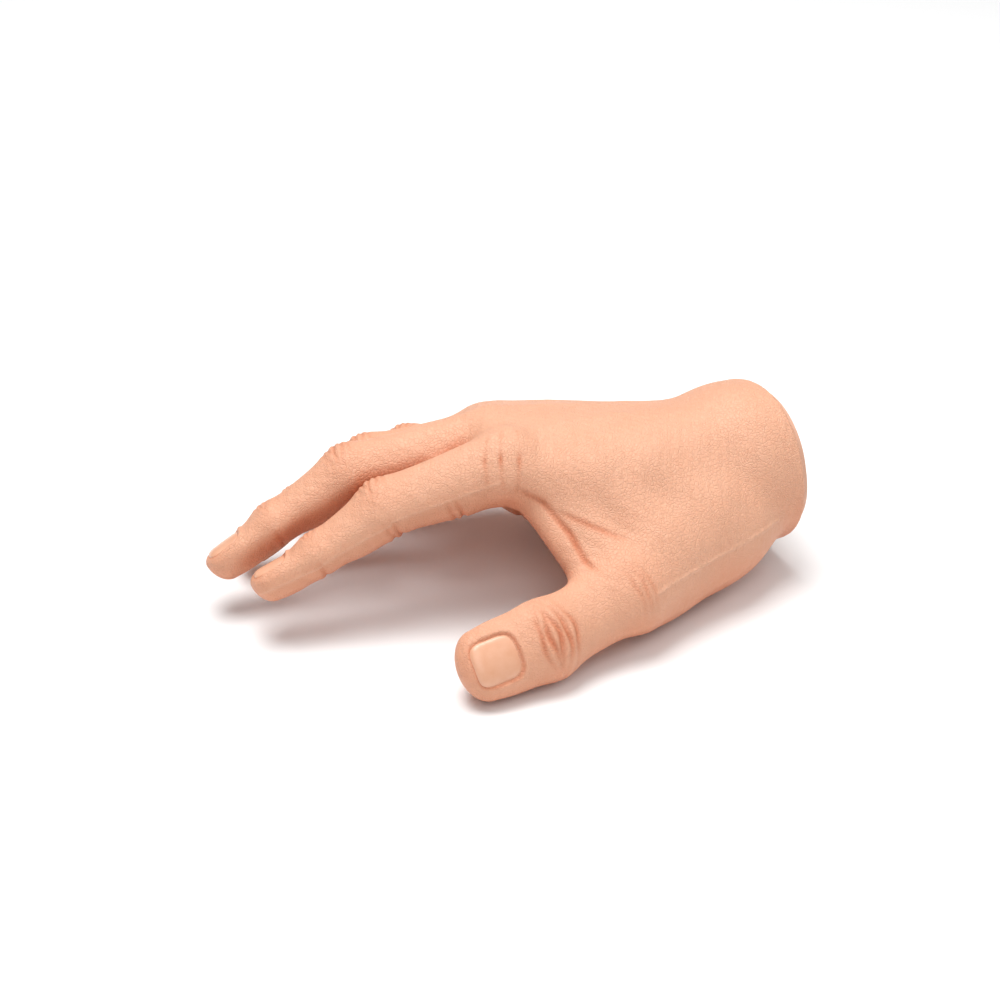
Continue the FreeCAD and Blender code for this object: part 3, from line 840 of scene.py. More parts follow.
def finger_folds(lengths: Sequence[float], scale: float) -> list[Fold]:
    """The folds of a finger's middle and tip hinges.

    Args:
        lengths: lengths of the finger's bones.
        scale: the finger's size beside the index finger's.

    Returns:
        The folds.
    """
    folds = []
    knuckle = ((-5.2, 0.22, 6.0), (-2.8, 0.34, 7.0), (-0.4, 0.42, 7.5), (2.0, 0.34, 6.8), (4.4, 0.2, 5.6))
    for x, depth, reach in knuckle:
        folds.append(Fold(1, x * scale, -0.028 * math.copysign(1, x), depth, 0.55, reach * scale))
    for x, depth in ((-1.6, 0.22), (0.2, 0.3), (1.9, 0.2)):
        folds.append(Fold(2, x * scale, -0.02 * math.copysign(1, x), depth, 0.45, 5.2 * scale))
    base = lengths[0]
    pad = ((1, -1.2, 0.75), (1, 1.4, 0.5), (2, 0.0, 0.6), (0, base * 0.47, 0.8), (0, base * 0.53, 0.45))
    for bone, x, depth in pad:
        folds.append(Fold(bone, x, 0.012, depth, 0.8, 9.5 * scale, back=False))
    return folds


def thumb_folds() -> list[Fold]:
    """The folds of the thumb's tip hinge, deep and close together, and of its middle hinge.

    Returns:
        The folds.
    """
    folds = []
    deep = ((-7.0, 0.5, 0.8), (-3.8, 0.85, 0.9), (-0.6, 1.0, 0.95), (2.8, 0.85, 0.85), (5.6, 0.5, 0.7))
    for x, depth, width in deep:
        folds.append(Fold(2, x, -0.022 * math.copysign(1, x + 0.5), depth, width, 8.4))
    for x, depth in ((-2.5, 0.22), (0.0, 0.28), (2.6, 0.22)):
        folds.append(Fold(1, x, 0.01, depth, 0.8, 7.5))
    for bone, x, depth in ((2, -1.0, 0.7), (2, 1.6, 0.4), (1, 0.0, 0.6)):
        folds.append(Fold(bone, x, 0.01, depth, 0.9, 10.0, back=False))
    return folds


@dataclass(frozen=True)
class NailShape:
    """A nail's outline on the last bone of a digit.

    Attributes:
        middle: its centre along the bone.
        half_length: half its length.
        half_width: half its width.
    """

    middle: float
    half_length: float
    half_width: float


NAILS = {
    "index": NailShape(15.6, 5.8, 5.4),
    "middle": NailShape(17.2, 6.0, 5.5),
    "ring": NailShape(17.2, 5.7, 5.2),
    "little": NailShape(15.4, 4.9, 4.4),
    "thumb": NailShape(20.6, 7.4, 7.4),
}


def roundness(a: Array, b: Array) -> Array:
    """Distance from a nail's centre in its rounded outline, 1 at the edge."""
    return (np.abs(a) ** 4.0 + np.abs(b) ** 4.0) ** 0.25


@dataclass
class Relief:
    """Everything pressed into or raised on the smooth flesh, and the masks used to tint it.

    Attributes:
        flesh: the smooth flesh.
        nail_sink: depth of a nail's bed.
        nail_wall: height of the skin's wall round a nail.
        nail_groove: depth of the groove at a nail's edge.
        tendon: height of a tendon's ridge.
        vein: height of a vein.
        seam: height of the parting line along the index finger.
    """

    flesh: Flesh
    nail_sink: float = 0.55
    nail_wall: float = 0.55
    nail_groove: float = 0.35
    tendon: float = 0.5
    vein: float = 0.28
    seam: float = 0.2

    def __post_init__(self) -> None:
        """Gathers the folds, creases and lines."""
        flesh = self.flesh
        self.folds = {
            name: finger_folds(digit.lengths, FINGER_SCALE[name][0])
            for name, digit in flesh.digits.items()
            if name != "thumb"
        }
        self.folds["thumb"] = thumb_folds()
        self.creases = self.palm_creases()
        self.lines = self.on_skin(self.mould_lines())
        self.skin_lines = self.on_skin(self.web_creases())
        edge = np.array([(80, 33, -14), (70, 40, -26), (61, 46, -38)], float)
        self.web_edge_shade = settle(flesh, edge, SETTLE_ROUNDS)

    def on_skin(self, lines: list[tuple[Array, float, float]]) -> list[tuple[Array, float, float]]:
        """Drawn lines brought onto the skin."""
        return [(settle(self.flesh, line, SETTLE_ROUNDS), size, width) for line, size, width in lines]

    def palm_creases(self) -> list[tuple[Array, float, float]]:
        """Creases of the palm and the thumb's web: points, depth and width.

        Returns:
            The creases.
        """
        under = -30.0
        head = [(84, 32, under), (76, 20, under), (64, 4, under), (50, -14, under)]
        heart = [(92, 16, under), (84, 4, under), (76, -12, under), (70, -34, under)]
        life = [(84, 33, under), (70, 22, under), (50, 10, under), (26, 4, under)]
        return [(np.array(c, float), 0.9, 1.1) for c in (head, heart, life)]

    def mould_lines(self) -> list[tuple[Array, float, float]]:
        """Fine raised lines where the glove's mould parts: points, height and width.

        Returns:
            The lines.
        """
        wrist = [(-6, 31, -16), (6, 35, -20), (20, 42, -26), (31, 48, -31), (42, 54, -36), (54, 60, -43)]
        return [(np.array(wrist, float), 0.5, 0.5)]

    def web_creases(self) -> list[tuple[Array, float, float]]:
        """Creases of the thumb's web and of the index finger's base: points, depth and width.

        Returns:
            The creases.
        """
        deep = [(86, 41, -6), (78, 42, -10), (69, 44, -19), (64, 48, -28), (60, 50, -33)]
        side = [(74, 44, -12), (62, 46, -16), (52, 47, -20)]
        base = [(91, 34, 12), (92, 40, 4), (91, 42, -6)]
        near = [(86, 34, 12), (86, 41, 4), (86, 42, -6)]
        joint = [(96, 34, 11), (97, 39, 3), (96, 41, -5)]
        return [
            (np.array(deep, float), 1.1, 1.0),
            (np.array(side, float), 0.4, 0.9),
            (np.array(base, float), 0.5, 0.6),
            (np.array(near, float), 0.4, 0.6),
            (np.array(joint, float), 0.3, 0.6),
        ]

    @staticmethod
    def from_line(p: Array, line: Array, flat: bool) -> tuple[Array, Array]:
        """Distance from a bent line and the place along it.

        Args:
            p: points in palm axes.
            line: the line's corners.
            flat: True to leave height out.

        Returns:
            The distances, and the places from 0 to 1.
        """
        q = p.copy()
        pts = line.copy()
        if flat:
            q[:, 2] = 0
            pts[:, 2] = 0
        best = np.full(len(q), 1e9)
        place = np.zeros(len(q))
        steps = len(pts) - 1
        for i in range(steps):
            d = pts[i + 1] - pts[i]
            t = np.clip(((q - pts[i]) @ d) / (d @ d), 0, 1)
            gap = np.linalg.norm(q - pts[i] - t[:, None] * d, axis=1)
            near = gap < best
            best = np.where(near, gap, best)
            place = np.where(near, (i + t) / steps, place)
        return best, place

    def owners(self, p: Array) -> tuple[Array, list[str]]:
        """Which digit each point is nearest to.

        Args:
            p: points in palm axes.

        Returns:
            The digits' numbers and their names.
        """
        names = [*NAMES, "thumb"]
        gaps = np.stack([self.flesh.digits[n].distance(p) for n in names])
        return np.argmin(gaps, 0), names

    def apply(self, p: Array, normals: Array) -> tuple[Array, dict[str, Array]]:
        """Presses everything into the flesh.

        Args:
            p: points in palm axes.
            normals: outward directions at the points.

        Returns:
            The moved points, and four masks: painted shade in the creases and nail grooves, blush at the
                knuckles and tips with painted shade on the palm side, the nail beds, and the seam.
        """
        push = np.zeros(len(p))
        # Crease mask: painted shade in folds, creases and nail grooves.
        crease_shade = np.zeros(len(p))
        # Blush mask: real blush at the knuckles and tips, and painted shade on the palm side.
        blush_and_underside_shade = np.zeros(len(p))
        bed = np.zeros(len(p))
        seam = np.zeros(len(p))
        owner, names = self.owners(p)
        for k, name in enumerate(names):
            digit = self.flesh.digits[name]
            mine = owner == k
            for fold in self.folds[name]:
                bone = digit.bones[fold.bone]
                q = bone.inside(p)
                wave = 0.3 * np.sin(q[:, 1] * 0.5 + fold.x)
                off = q[:, 0] - fold.x - fold.sag * q[:, 1] ** 2 - wave
                facing = normals @ bone.basis[2] * (1 if fold.back else -1)
                level = bell(q[:, 1], fold.reach) * ramp(facing, 0.05, 0.5) * mine
                level = level * (np.abs(q[:, 0] - fold.x) < 8)
                lip = bell(off - fold.width * 2.1, fold.width * 1.1)
                push -= fold.depth * level * (bell(off, fold.width) - 0.45 * lip)
                # Painted shade along the fold.
                crease_shade = np.maximum(crease_shade, level * bell(off, fold.width * 1.2) * min(1.0, fold.depth * 1.8))
            for joint in (1, 2):
                gap = np.linalg.norm(p - digit.points[joint], axis=1)
                facing = normals @ digit.bones[joint].basis[2]
                blush_and_underside_shade = np.maximum(blush_and_underside_shade, mine * bell(gap, 15.0) * ramp(facing, -0.2, 0.7) * 0.55)
            gap = np.linalg.norm(p - digit.points[3], axis=1)
            blush_and_underside_shade = np.maximum(blush_and_underside_shade, mine * bell(gap, 13.0) * 0.8)
            nail = NAILS[name]
            last = digit.bones[2]
            q = last.inside(p)
            a, b = (q[:, 0] - nail.middle) / nail.half_length, q[:, 1] / nail.half_width
            r = roundness(a, b)
            up = ramp(normals @ last.basis[2], 0.1, 0.45) * mine * (q[:, 2] > -1.0)
            inside = (1 - ramp(r, 0.90, 1.04)) * up
            push -= self.nail_sink * inside
            push += self.nail_wall * bell(r - 1.16, 0.13) * up * ramp(-a, -0.75, -0.2)
            push -= self.nail_groove * bell(r - 1.02, 0.06) * up
            # Painted shade in the groove round the nail.
            crease_shade = np.maximum(crease_shade, bell(r - 1.03, 0.07) * up * 0.85)
            bed = np.maximum(bed, inside)
        # Painted shade: the palm side is tinted redder, partly its own redder tone and partly painted shade
        # where it faces away from the light.
        blush_and_underside_shade = np.maximum(blush_and_underside_shade, 0.9 * ramp(-normals[:, 2], -0.1, 0.7))
        for line, depth, width in self.creases:
            gap, place = self.from_line(p, line, True)
            level = ramp(-normals[:, 2], 0.2, 0.6) * np.sin(np.pi * np.clip(place, 0.02, 0.98)) ** 0.4
            level = level * (p[:, 2] < 4)
            push -= depth * level * bell(gap, width)
            # Painted shade along the palm crease.
            crease_shade = np.maximum(crease_shade, level * bell(gap, width * 1.2))
        for line, depth, width in self.skin_lines:
            gap, place = self.from_line(p, line, False)
            level = np.sin(np.pi * np.clip(place, 0.03, 0.97)) ** 0.5
            push -= depth * level * bell(gap, width)
            # Painted shade along the web and finger-base creases.
            crease_shade = np.maximum(crease_shade, level * bell(gap, width * 1.3) * min(1.0, 0.4 + depth))
        # Painted shade: a broad dark band along the edge of the thumb's web.
        gap, _ = self.from_line(p, self.web_edge_shade, False)
        crease_shade = np.maximum(crease_shade, 0.75 * bell(gap, 6.0))
        for line, height, width in self.lines:
            gap, place = self.from_line(p, line, False)
            push += height * bell(gap, width) * (1 - ramp(place, 0.82, 1.0))
            seam = np.maximum(seam, bell(gap, width * 1.5) * (1 - ramp(place, 0.8, 1.0)))
        self.tendons(p, normals, push)
        self.index_line(p, normals, push, seam, owner)
        return p + normals * push[:, None], {"crease_shade": crease_shade, "blush_and_underside_shade": blush_and_underside_shade, "bed": bed, "seam": seam}

    def tendons(self, p: Array, normals: Array, push: Array) -> None:
        """Low ridges on the back of the hand that run to the knuckles, and two faint veins.

        Args:
            p: points in palm axes.
            normals: outward directions at the points.
            push: how far each point is moved outwards, changed here.
        """
        upper = ramp(normals[:, 2], 0.3, 0.8)
        for name in NAMES:
            knuckle = self.flesh.digits[name].points[0]
            start = np.array((14.0, knuckle[1] * 0.18, 0.0))
            gap, place = self.from_line(p, np.array([start, knuckle]), True)
            level = upper * ramp(place, 0.1, 0.6) * (1 - ramp(place, 0.85, 1.0))
            push += self.tendon * bell(gap, 2.4) * level
        vein = np.array([(18, 14, 0), (36, 20, 0), (54, 16, 0), (72, 20, 0)], float)
        other = np.array([(22, -14, 0), (44, -6, 0), (66, -2, 0)], float)
        for line in (vein, other):
            gap, place = self.from_line(p, line, True)
            push += self.vein * bell(gap, 1.5) * upper * np.sin(np.pi * place)

    def index_line(self, p: Array, normals: Array, push: Array, seam: Array, owner: Array) -> None:
        """The mould's parting line along the thumb side of the index finger.

        Args:
            p: points in palm axes.
            normals: outward directions at the points.
            push: how far each point is moved outwards, changed here.
            seam: the seam mask, changed here.
            owner: the number of each point's digit.
        """
        digit = self.flesh.digits["index"]
        for k in range(3):
            bone = digit.bones[k]
            q = bone.inside(p)
            along = (q[:, 0] > (6 if k == 0 else 0)) & (q[:, 0] < digit.lengths[k])
            level = bell(q[:, 2] + 3.4 - 0.02 * q[:, 0], 0.4) * along * (owner == 0)
            level = level * ramp(normals @ bone.basis[1], 0.4, 0.7)
            push += self.seam * level
            np.maximum(seam, level, out=seam)


def openness_for_shade(flesh: Flesh, p: Array, normals: Array) -> Array:
    """How open the space outside each point is; it sets the painted crevice shade.

    Args:
        flesh: the field.
        p: points in palm axes.
        normals: outward directions at the points.

    Returns:
        1 in the open, 0 deep in a crevice.
    """
    shade = np.zeros(len(p))
    total = 0.0
    for reach, weight in ((2.0, 1.0), (4.5, 0.9), (9.0, 0.8), (16.0, 0.7)):
        gap = flesh.distance(p + normals * reach)
        shade += weight * np.clip(1.0 - gap / reach, 0.0, 1.0)
        total += weight
    return 1.0 - shade / total


# ---------------------------------------------------------------------------------------------------------
# Skin pieces
# ---------------------------------------------------------------------------------------------------------
def to_row(p: Array) -> Array:
    """Palm axes in millimetres to the row frame in metres."""
    return PALM.outside(p) / 1000.0


@dataclass(frozen=True)
class Span:
    """Two bodies and the stretch of skin between them at a joint.

    Attributes:
        near: the body nearer the wrist; not used.
        far: the body beyond the hinge; not used.
        start: where the turn starts, in palm axes.
        end: where it ends.
    """

    near: str
    far: str
    start: Array
    end: Array


@dataclass(frozen=True)
class Patch:
    """One piece of the glove.

    Attributes:
        name: the piece's name.
        nodes: the CAD nodes it stands for.
        span: the bodies and stretch at its joint, or None for the piece that rides on the palm.
    """

    name: str
    nodes: tuple[str, ...]
    span: Optional[Span] = None


AXLE = np.array((84.5, 0.0, 3.0))  # middle of the knuckle axle
AXLE_WAY = unit((1.0, -0.145, 0.0))  # across the axle, towards the fingers
THUMB_WAY = unit((0.05, 0.62, -0.78))  # from the palm towards the thumb


@dataclass
class Glove:
    """The whole skin: one mesh, its masks, and the pieces it is divided into.

    Attributes:
        flesh: the field that the skin follows.
        step: spacing of the grid it is meshed on.
        knuckle_turn: where the knuckles' skin starts and ends its turn, from the axle.
        thumb_rise: where the thumb root's skin starts and ends its turn, towards the thumb.
        thumb_turn_span: where the thumb middle's skin starts and ends its turn, from its hinge.
        web_end: how far along the palm the thumb root's skin goes.
    """

    flesh: Flesh
    step: float
    knuckle_turn: tuple[float, float] = (-4.0, 17.0)
    thumb_rise: tuple[float, float] = (30.5, 44.0)
    thumb_turn_span: tuple[float, float] = (3.0, 21.0)
    web_end: float = 83.0

    def __post_init__(self) -> None:
        """Meshes the skin, presses the relief into it and labels its faces."""
        flesh = self.flesh
        verts, faces = Mesher(flesh, self.step).build()
        verts = settle(flesh, relaxed(verts, faces, 2), 2)
        verts, faces = subdivided(verts, faces)
        self.base = settle(flesh, verts, 1)
        self.faces = faces
        relief = Relief(flesh)
        normals = mesh_normals(self.base, faces)
        self.verts, self.masks = relief.apply(self.base, normals)
        # Painted shade: faces turned down lose openness, so their colour goes towards the painted shade red.
        under = ramp(-(normals @ PALM.basis)[:, 2], 0.1, 0.8)
        self.masks["open"] = openness_for_shade(flesh, self.base, normals) * (1.0 - 0.5 * under)
        self.normals = mesh_normals(self.verts, faces) @ PALM.basis
        middles = self.base[faces].mean(1)
        owner, self.names = relief.owners(middles)
        self.labels = self.label(middles, owner)
        log.info("skin: %d vertices, %d faces", len(self.verts), len(faces))

    def thumb_turn(self) -> tuple[Array, Array]:
        """The thumb's middle hinge and the direction its skin turns along."""
        bones = self.flesh.digits["thumb"].bones
        return bones[1].origin, unit(bones[0].basis[0] + bones[1].basis[0])

    def label(self, p: Array, owner: Array) -> Array:
        """Which piece each face belongs to, as a number in the order of patches().

        Args:
            p: the faces' middles.
            owner: the number of each face's digit.

        Returns:
            A number for each face, in the order of patches().
        """
        made = np.zeros(len(p), int)
        order = [patch.name for patch in self.patches()]
        thumbward = p @ THUMB_WAY
        thumb_face = owner == self.names.index("thumb")
        made[((p - AXLE) @ AXLE_WAY > -10.0) & ~thumb_face] = order.index("skin_knuckles")
        for name in NAMES:
            digit = self.flesh.digits[name]
            mine = owner == self.names.index(name)
            first = digit.bones[0].inside(p)[:, 0] > digit.lengths[0] * 0.52
            made[mine & first] = order.index(f"skin_{name}_middle")
            second = digit.bones[1].inside(p)[:, 0] > digit.lengths[1] * 0.5
            made[mine & first & second] = order.index(f"skin_{name}_tip")
        root = (thumbward > self.thumb_rise[0]) & ((p[:, 0] < self.web_end) | thumb_face)
        made[root] = order.index("skin_thumb_root")
        hinge, way = self.thumb_turn()
        beyond = thumb_face & (thumbward > self.thumb_rise[1]) & ((p - hinge) @ way > 2.5)
        made[beyond] = order.index("skin_thumb_middle")
        digit = self.flesh.digits["thumb"]
        tip = digit.bones[1].inside(p)[:, 0] > digit.lengths[1] - 11.0
        made[beyond & tip] = order.index("skin_thumb_tip")
        return made

    def hinge_span(self, digit: Digit, k: int, near: str, far: str, half: float) -> Span:
        """A turn centred on a hinge.

        Args:
            digit: the digit.
            k: the hinge's number from the root.
            near: the body before the hinge.
            far: the body after it.
            half: how far the turn goes to each side.

        Returns:
            The span.
        """
        centre = digit.points[k]
        start = centre - digit.bones[k - 1].basis[0] * half
        return Span(near, far, start, centre + digit.bones[k].basis[0] * half)

    def patches(self) -> list[Patch]:
        """The glove's pieces, from the palm outwards.

        Returns:
            The pieces.
        """
        bases = tuple(f"{name}_base_glove" for name in NAMES)
        low, high = self.knuckle_turn
        turn = Span("palm", "finger_bases", AXLE + AXLE_WAY * low, AXLE + AXLE_WAY * high)
        made = [Patch("skin_palm", ("palm_glove", "palm_foam")), Patch("skin_knuckles", bases, turn)]
        for name in NAMES:
            digit = self.flesh.digits[name]
            size = FINGER_SCALE[name][0]
            span = self.hinge_span(digit, 1, "finger_bases", f"{name}_middle", 8.0 * size)
            made.append(Patch(f"skin_{name}_middle", (f"{name}_middle_glove",), span))
            span = self.hinge_span(digit, 2, f"{name}_middle", f"{name}_tip", 6.5 * size)
            made.append(Patch(f"skin_{name}_tip", (f"{name}_tip_glove",), span))
        low, high = self.thumb_rise
        span = Span("palm", "thumb_base", THUMB_WAY * low, THUMB_WAY * high)
        made.append(Patch("skin_thumb_root", ("thumb_base_glove",), span))
        hinge, way = self.thumb_turn()
        low, high = self.thumb_turn_span
        span = Span("thumb_base", "thumb_middle", hinge + way * low, hinge + way * high)
        made.append(Patch("skin_thumb_middle", ("thumb_middle_glove",), span))
        span = self.hinge_span(self.flesh.digits["thumb"], 2, "thumb_middle", "thumb_tip", 8.5)
        made.append(Patch("skin_thumb_tip", ("thumb_tip_glove",), span))
        return made

    def build(self, material: bpy.types.Material) -> list[bpy.types.Object]:
        """Makes every piece as an object; the palm's piece rides on the palm body.

        Args:
            material: the glove's material.

        Returns:
            The pieces' objects.
        """
        made = []
        for number, patch in enumerate(self.patches()):
            faces = self.faces[self.labels == number]
            used, local = np.unique(faces, return_inverse=True)
            rest = to_row(self.verts[used])
            obj = mesh_object(patch.name, rest, local.reshape(-1, 4), material)
            mesh = obj.data
            for name in ("crease_shade", "blush_and_underside_shade", "bed", "seam", "open"):
                layer = mesh.attributes.new(name, "FLOAT", "POINT")
                layer.data.foreach_set("value", self.masks[name][used].astype(np.float32))
            layer = mesh.attributes.new("rest", "FLOAT_VECTOR", "POINT")
            layer.data.foreach_set("vector", rest.astype(np.float32).ravel())
            mesh.normals_split_custom_set_from_vertices(self.normals[used].tolist())
            span = patch.span
            if span is None:
                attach(obj, "palm")
            else:
                tuple(to_row(span.start))
                tuple(to_row(span.end))
                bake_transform(obj)
            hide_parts(*patch.nodes)
            log.info("%s: %d faces", patch.name, len(faces))
            made.append(obj)
        return made


def mesh_object(
    name: str, verts: Array, faces: Array, material: bpy.types.Material, smooth: bool = True
) -> bpy.types.Object:
    """A mesh object with one material, linked to the scene.

    Args:
        name: the object's name.
        verts: vertices in metres in the row frame.
        faces: the faces' corners.
        material: its material.
        smooth: True for smooth shading.

    Returns:
        The object.
    """
    mesh = bpy.data.meshes.new(name)
    mesh.from_pydata(verts.tolist(), [], faces.tolist())
    mesh.polygons.foreach_set("use_smooth", [smooth] * len(mesh.polygons))
    mesh.materials.append(material)
    mesh.update()
    obj = bpy.data.objects.new(name, mesh)
    bpy.context.scene.collection.objects.link(obj)
    return obj


@dataclass
class Nails:
    """The bonded nail plates.

    Attributes:
        flesh: the flesh that they lie on.
        rings: rings of faces from a plate's centre to its edge.
        around: corners of each ring.
        thickness: a plate's thickness.
    """

    flesh: Flesh
    rings: int = 10
    around: int = 56
    thickness: float = 0.45

    def surface(self, digit: Digit, x: Array, y: Array) -> Array:
        """Height of the flesh's back over places on the last bone.

        Args:
            digit: the digit.
            x: places along its last bone.
            y: places across it.

        Returns:
            Heights above the bone.
        """
        bone = digit.bones[2]
        z = np.full(len(x), 16.0)
        for _ in range(14):
            z = z - self.flesh.distance(bone.outside(np.stack([x, y, z], 1)))
        return z

    def build(self, name: str, material: bpy.types.Material) -> bpy.types.Object:
        """One nail plate, a closed domed shell.

        Args:
            name: the digit's name.
            material: the nails' material.

        Returns:
            The plate's object.
        """
        digit, nail = self.flesh.digits[name], NAILS[name]
        turn = np.linspace(0, 2 * np.pi, self.around, endpoint=False)
        way = np.stack([np.cos(turn), np.sin(turn)], 1)
        way = way / roundness(way[:, 0], way[:, 1])[:, None]
        radius = np.concatenate([[0.0], np.repeat(np.arange(1, self.rings + 1) / self.rings, self.around)])
        spot = radius[:, None] * np.concatenate([[[1.0, 0.0]], np.tile(way, (self.rings, 1))])
        a, b = spot[:, 0], spot[:, 1]
        x = nail.middle + a * nail.half_length * 0.99 + 0.35 * ramp(a, 0.3, 1.0)
        y = b * nail.half_width * 0.98
        level = self.surface(digit, x, y)
        rise = -0.22 + 0.3 * (1 - radius**2) + 0.28 * ramp(a, 0.35, 1.0) - 0.3 * ramp(-a, 0.7, 1.0)
        rise = rise - 0.18 * ramp(radius, 0.88, 1.0)
        top = np.stack([x, y, level + rise], 1)
        under = np.stack([x, y, level + rise - self.thickness], 1)
        verts = digit.bones[2].outside(np.concatenate([top, under]))
        faces = self.shell(len(top))
        obj = mesh_object(f"nail_{name}", to_row(verts), faces, material)
        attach(obj, f"{name}_tip")
        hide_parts(f"{name}_nail")
        log.info("%s: %d faces", obj.name, len(faces))
        return obj

    def shell(self, count: int) -> Array:
        """Faces of a plate: its top, its underside and its rim.

        Args:
            count: the vertices of the top, and of the underside.

        Returns:
            The faces' corners, three at the centre and four elsewhere.
        """
        n = self.around
        faces = []
        for k in range(n):
            nxt = (k + 1) % n
            faces.append((0, 1 + k, 1 + nxt))
            faces.append((count, count + 1 + nxt, count + 1 + k))
            for ring in range(self.rings - 1):
                i, j = 1 + ring * n, 1 + (ring + 1) * n
                faces.append((i + k, j + k, j + nxt, i + nxt))
                faces.append((count + i + nxt, count + j + nxt, count + j + k, count + i + k))
            rim = 1 + (self.rings - 1) * n
            faces.append((rim + k, count + rim + k, count + rim + nxt, rim + nxt))
        return np.array(faces, dtype=object)


# ---------------------------------------------------------------------------------------------------------
# Materials
# ---------------------------------------------------------------------------------------------------------
class Tint(Enum):
    """Linear base colours."""

    SKIN = (0.76, 0.395, 0.252)
    # Dark red used as painted shade in crevices, creases and grooves.
    PAINTED_SHADE = (0.55, 0.145, 0.055)
    # Real blush and mottling red, also painted as shade on the palm side.
    BLUSH_AND_SHADE = (0.70, 0.275, 0.15)
    PALE = (0.80, 0.455, 0.305)
    NAIL = (0.70, 0.33, 0.19)
    PLATE = (0.74, 0.42, 0.29)
    STEEL = (0.55, 0.55, 0.56)
    BRASS = (0.58, 0.57, 0.55)
    LINK = (0.42, 0.43, 0.45)
    FRAME = (0.60, 0.61, 0.62)
    FLOOR = (0.92, 0.92, 0.92)


@dataclass(frozen=True)
class Finish:
    """A plain material.

    Attributes:
        name: the material's name.
        tint: its colour.
        metallic: 1 for bare metal.
        roughness: the base roughness.
        grain: how far the roughness wanders.
        scale: size of the grain pattern, per metre.
        slot: the record's slot, or None; not used.
    """

    name: str
    tint: Tint
    metallic: float
    roughness: float
    grain: float
    scale: float
    slot: Optional[str] = None


STEEL = Finish("machined_steel", Tint.STEEL, 1.0, 0.34, 0.10, 900.0, "steel")
LINK = Finish("sintered_link", Tint.LINK, 1.0, 0.48, 0.12, 1200.0, "link_metal")
FRAME = Finish("brushed_frame", Tint.FRAME, 1.0, 0.40, 0.12, 700.0, "frame_metal")
INSERT = Finish("thread_insert", Tint.BRASS, 1.0, 0.30, 0.08, 900.0, "insert")
PLATE = Finish("moulded_plate", Tint.PLATE, 0.0, 0.50, 0.10, 500.0, "plate")


@dataclass
class Tree:
    """A small helper for building node trees.

    Attributes:
        tree: the node tree.
    """

    tree: bpy.types.NodeTree

    def add(self, kind: str, settings: Optional[dict] = None, **values: object) -> bpy.types.Node:
        """Adds a node.

        Args:
            kind: the node's type.
            settings: its properties.
            values: its inputs, with _ for a space: sockets to link or plain values.

        Returns:
            The node.
        """
        node = self.tree.nodes.new(kind)
        for key, value in (settings or {}).items():
            setattr(node, key, value)
        for key, value in values.items():
            self.set(node.inputs[key.replace("_", " ")], value)
        return node

    def set(self, socket: bpy.types.NodeSocket, value: object) -> None:
        """Links a socket or gives it a number.

        Args:
            socket: the input.
            value: a socket to link, or a plain value.
        """
        if isinstance(value, bpy.types.NodeSocket):
            self.tree.links.new(value, socket)
        else:
            socket.default_value = value

    def maths(self, kind: str, a: object, b: object = 0.0, clamp: bool = False) -> bpy.types.NodeSocket:
        """A maths node's result.

        Args:
            kind: the operation.
            a: the first value.
            b: the second value.
            clamp: True to keep the result from 0 to 1.

        Returns:
            The result's socket.
        """
        node = self.add("ShaderNodeMath", {"operation": kind, "use_clamp": clamp})
        self.set(node.inputs[0], a)
        self.set(node.inputs[1], b)
        return node.outputs[0]

    def mix(self, share: object, a: object, b: object) -> bpy.types.NodeSocket:
        """A colour mix's result.

        Args:
            share: the second colour's share.
            a: the first colour.
            b: the second colour.

        Returns:
            The result's socket.
        """
        node = self.add("ShaderNodeMix", {"data_type": "RGBA", "clamp_factor": True})
        self.set(node.inputs[0], share)
        self.set(node.inputs[6], a)
        self.set(node.inputs[7], b)
        return node.outputs[2]

    def mask(self, name: str) -> bpy.types.NodeSocket:
        """A mask stored on the mesh."""
        return self.add("ShaderNodeAttribute", {"attribute_name": name}).outputs["Fac"]

    def noise(
        self, where: object, scale: float, detail: float = 3.0, rough: float = 0.55
    ) -> bpy.types.NodeSocket:
        """A noise pattern's value.

        Args:
            where: the place that it is read at.
            scale: the pattern's size, per metre.
            detail: how many finer patterns are added.
            rough: how strong they are.

        Returns:
            The value's socket.
        """
        node = self.add("ShaderNodeTexNoise", Vector=where, Scale=scale, Detail=detail, Roughness=rough)
        return node.outputs["Fac"]


def colour(tint: Tint) -> tuple[float, float, float, float]:
    """A tint with its alpha."""
    return (*tint.value, 1.0)


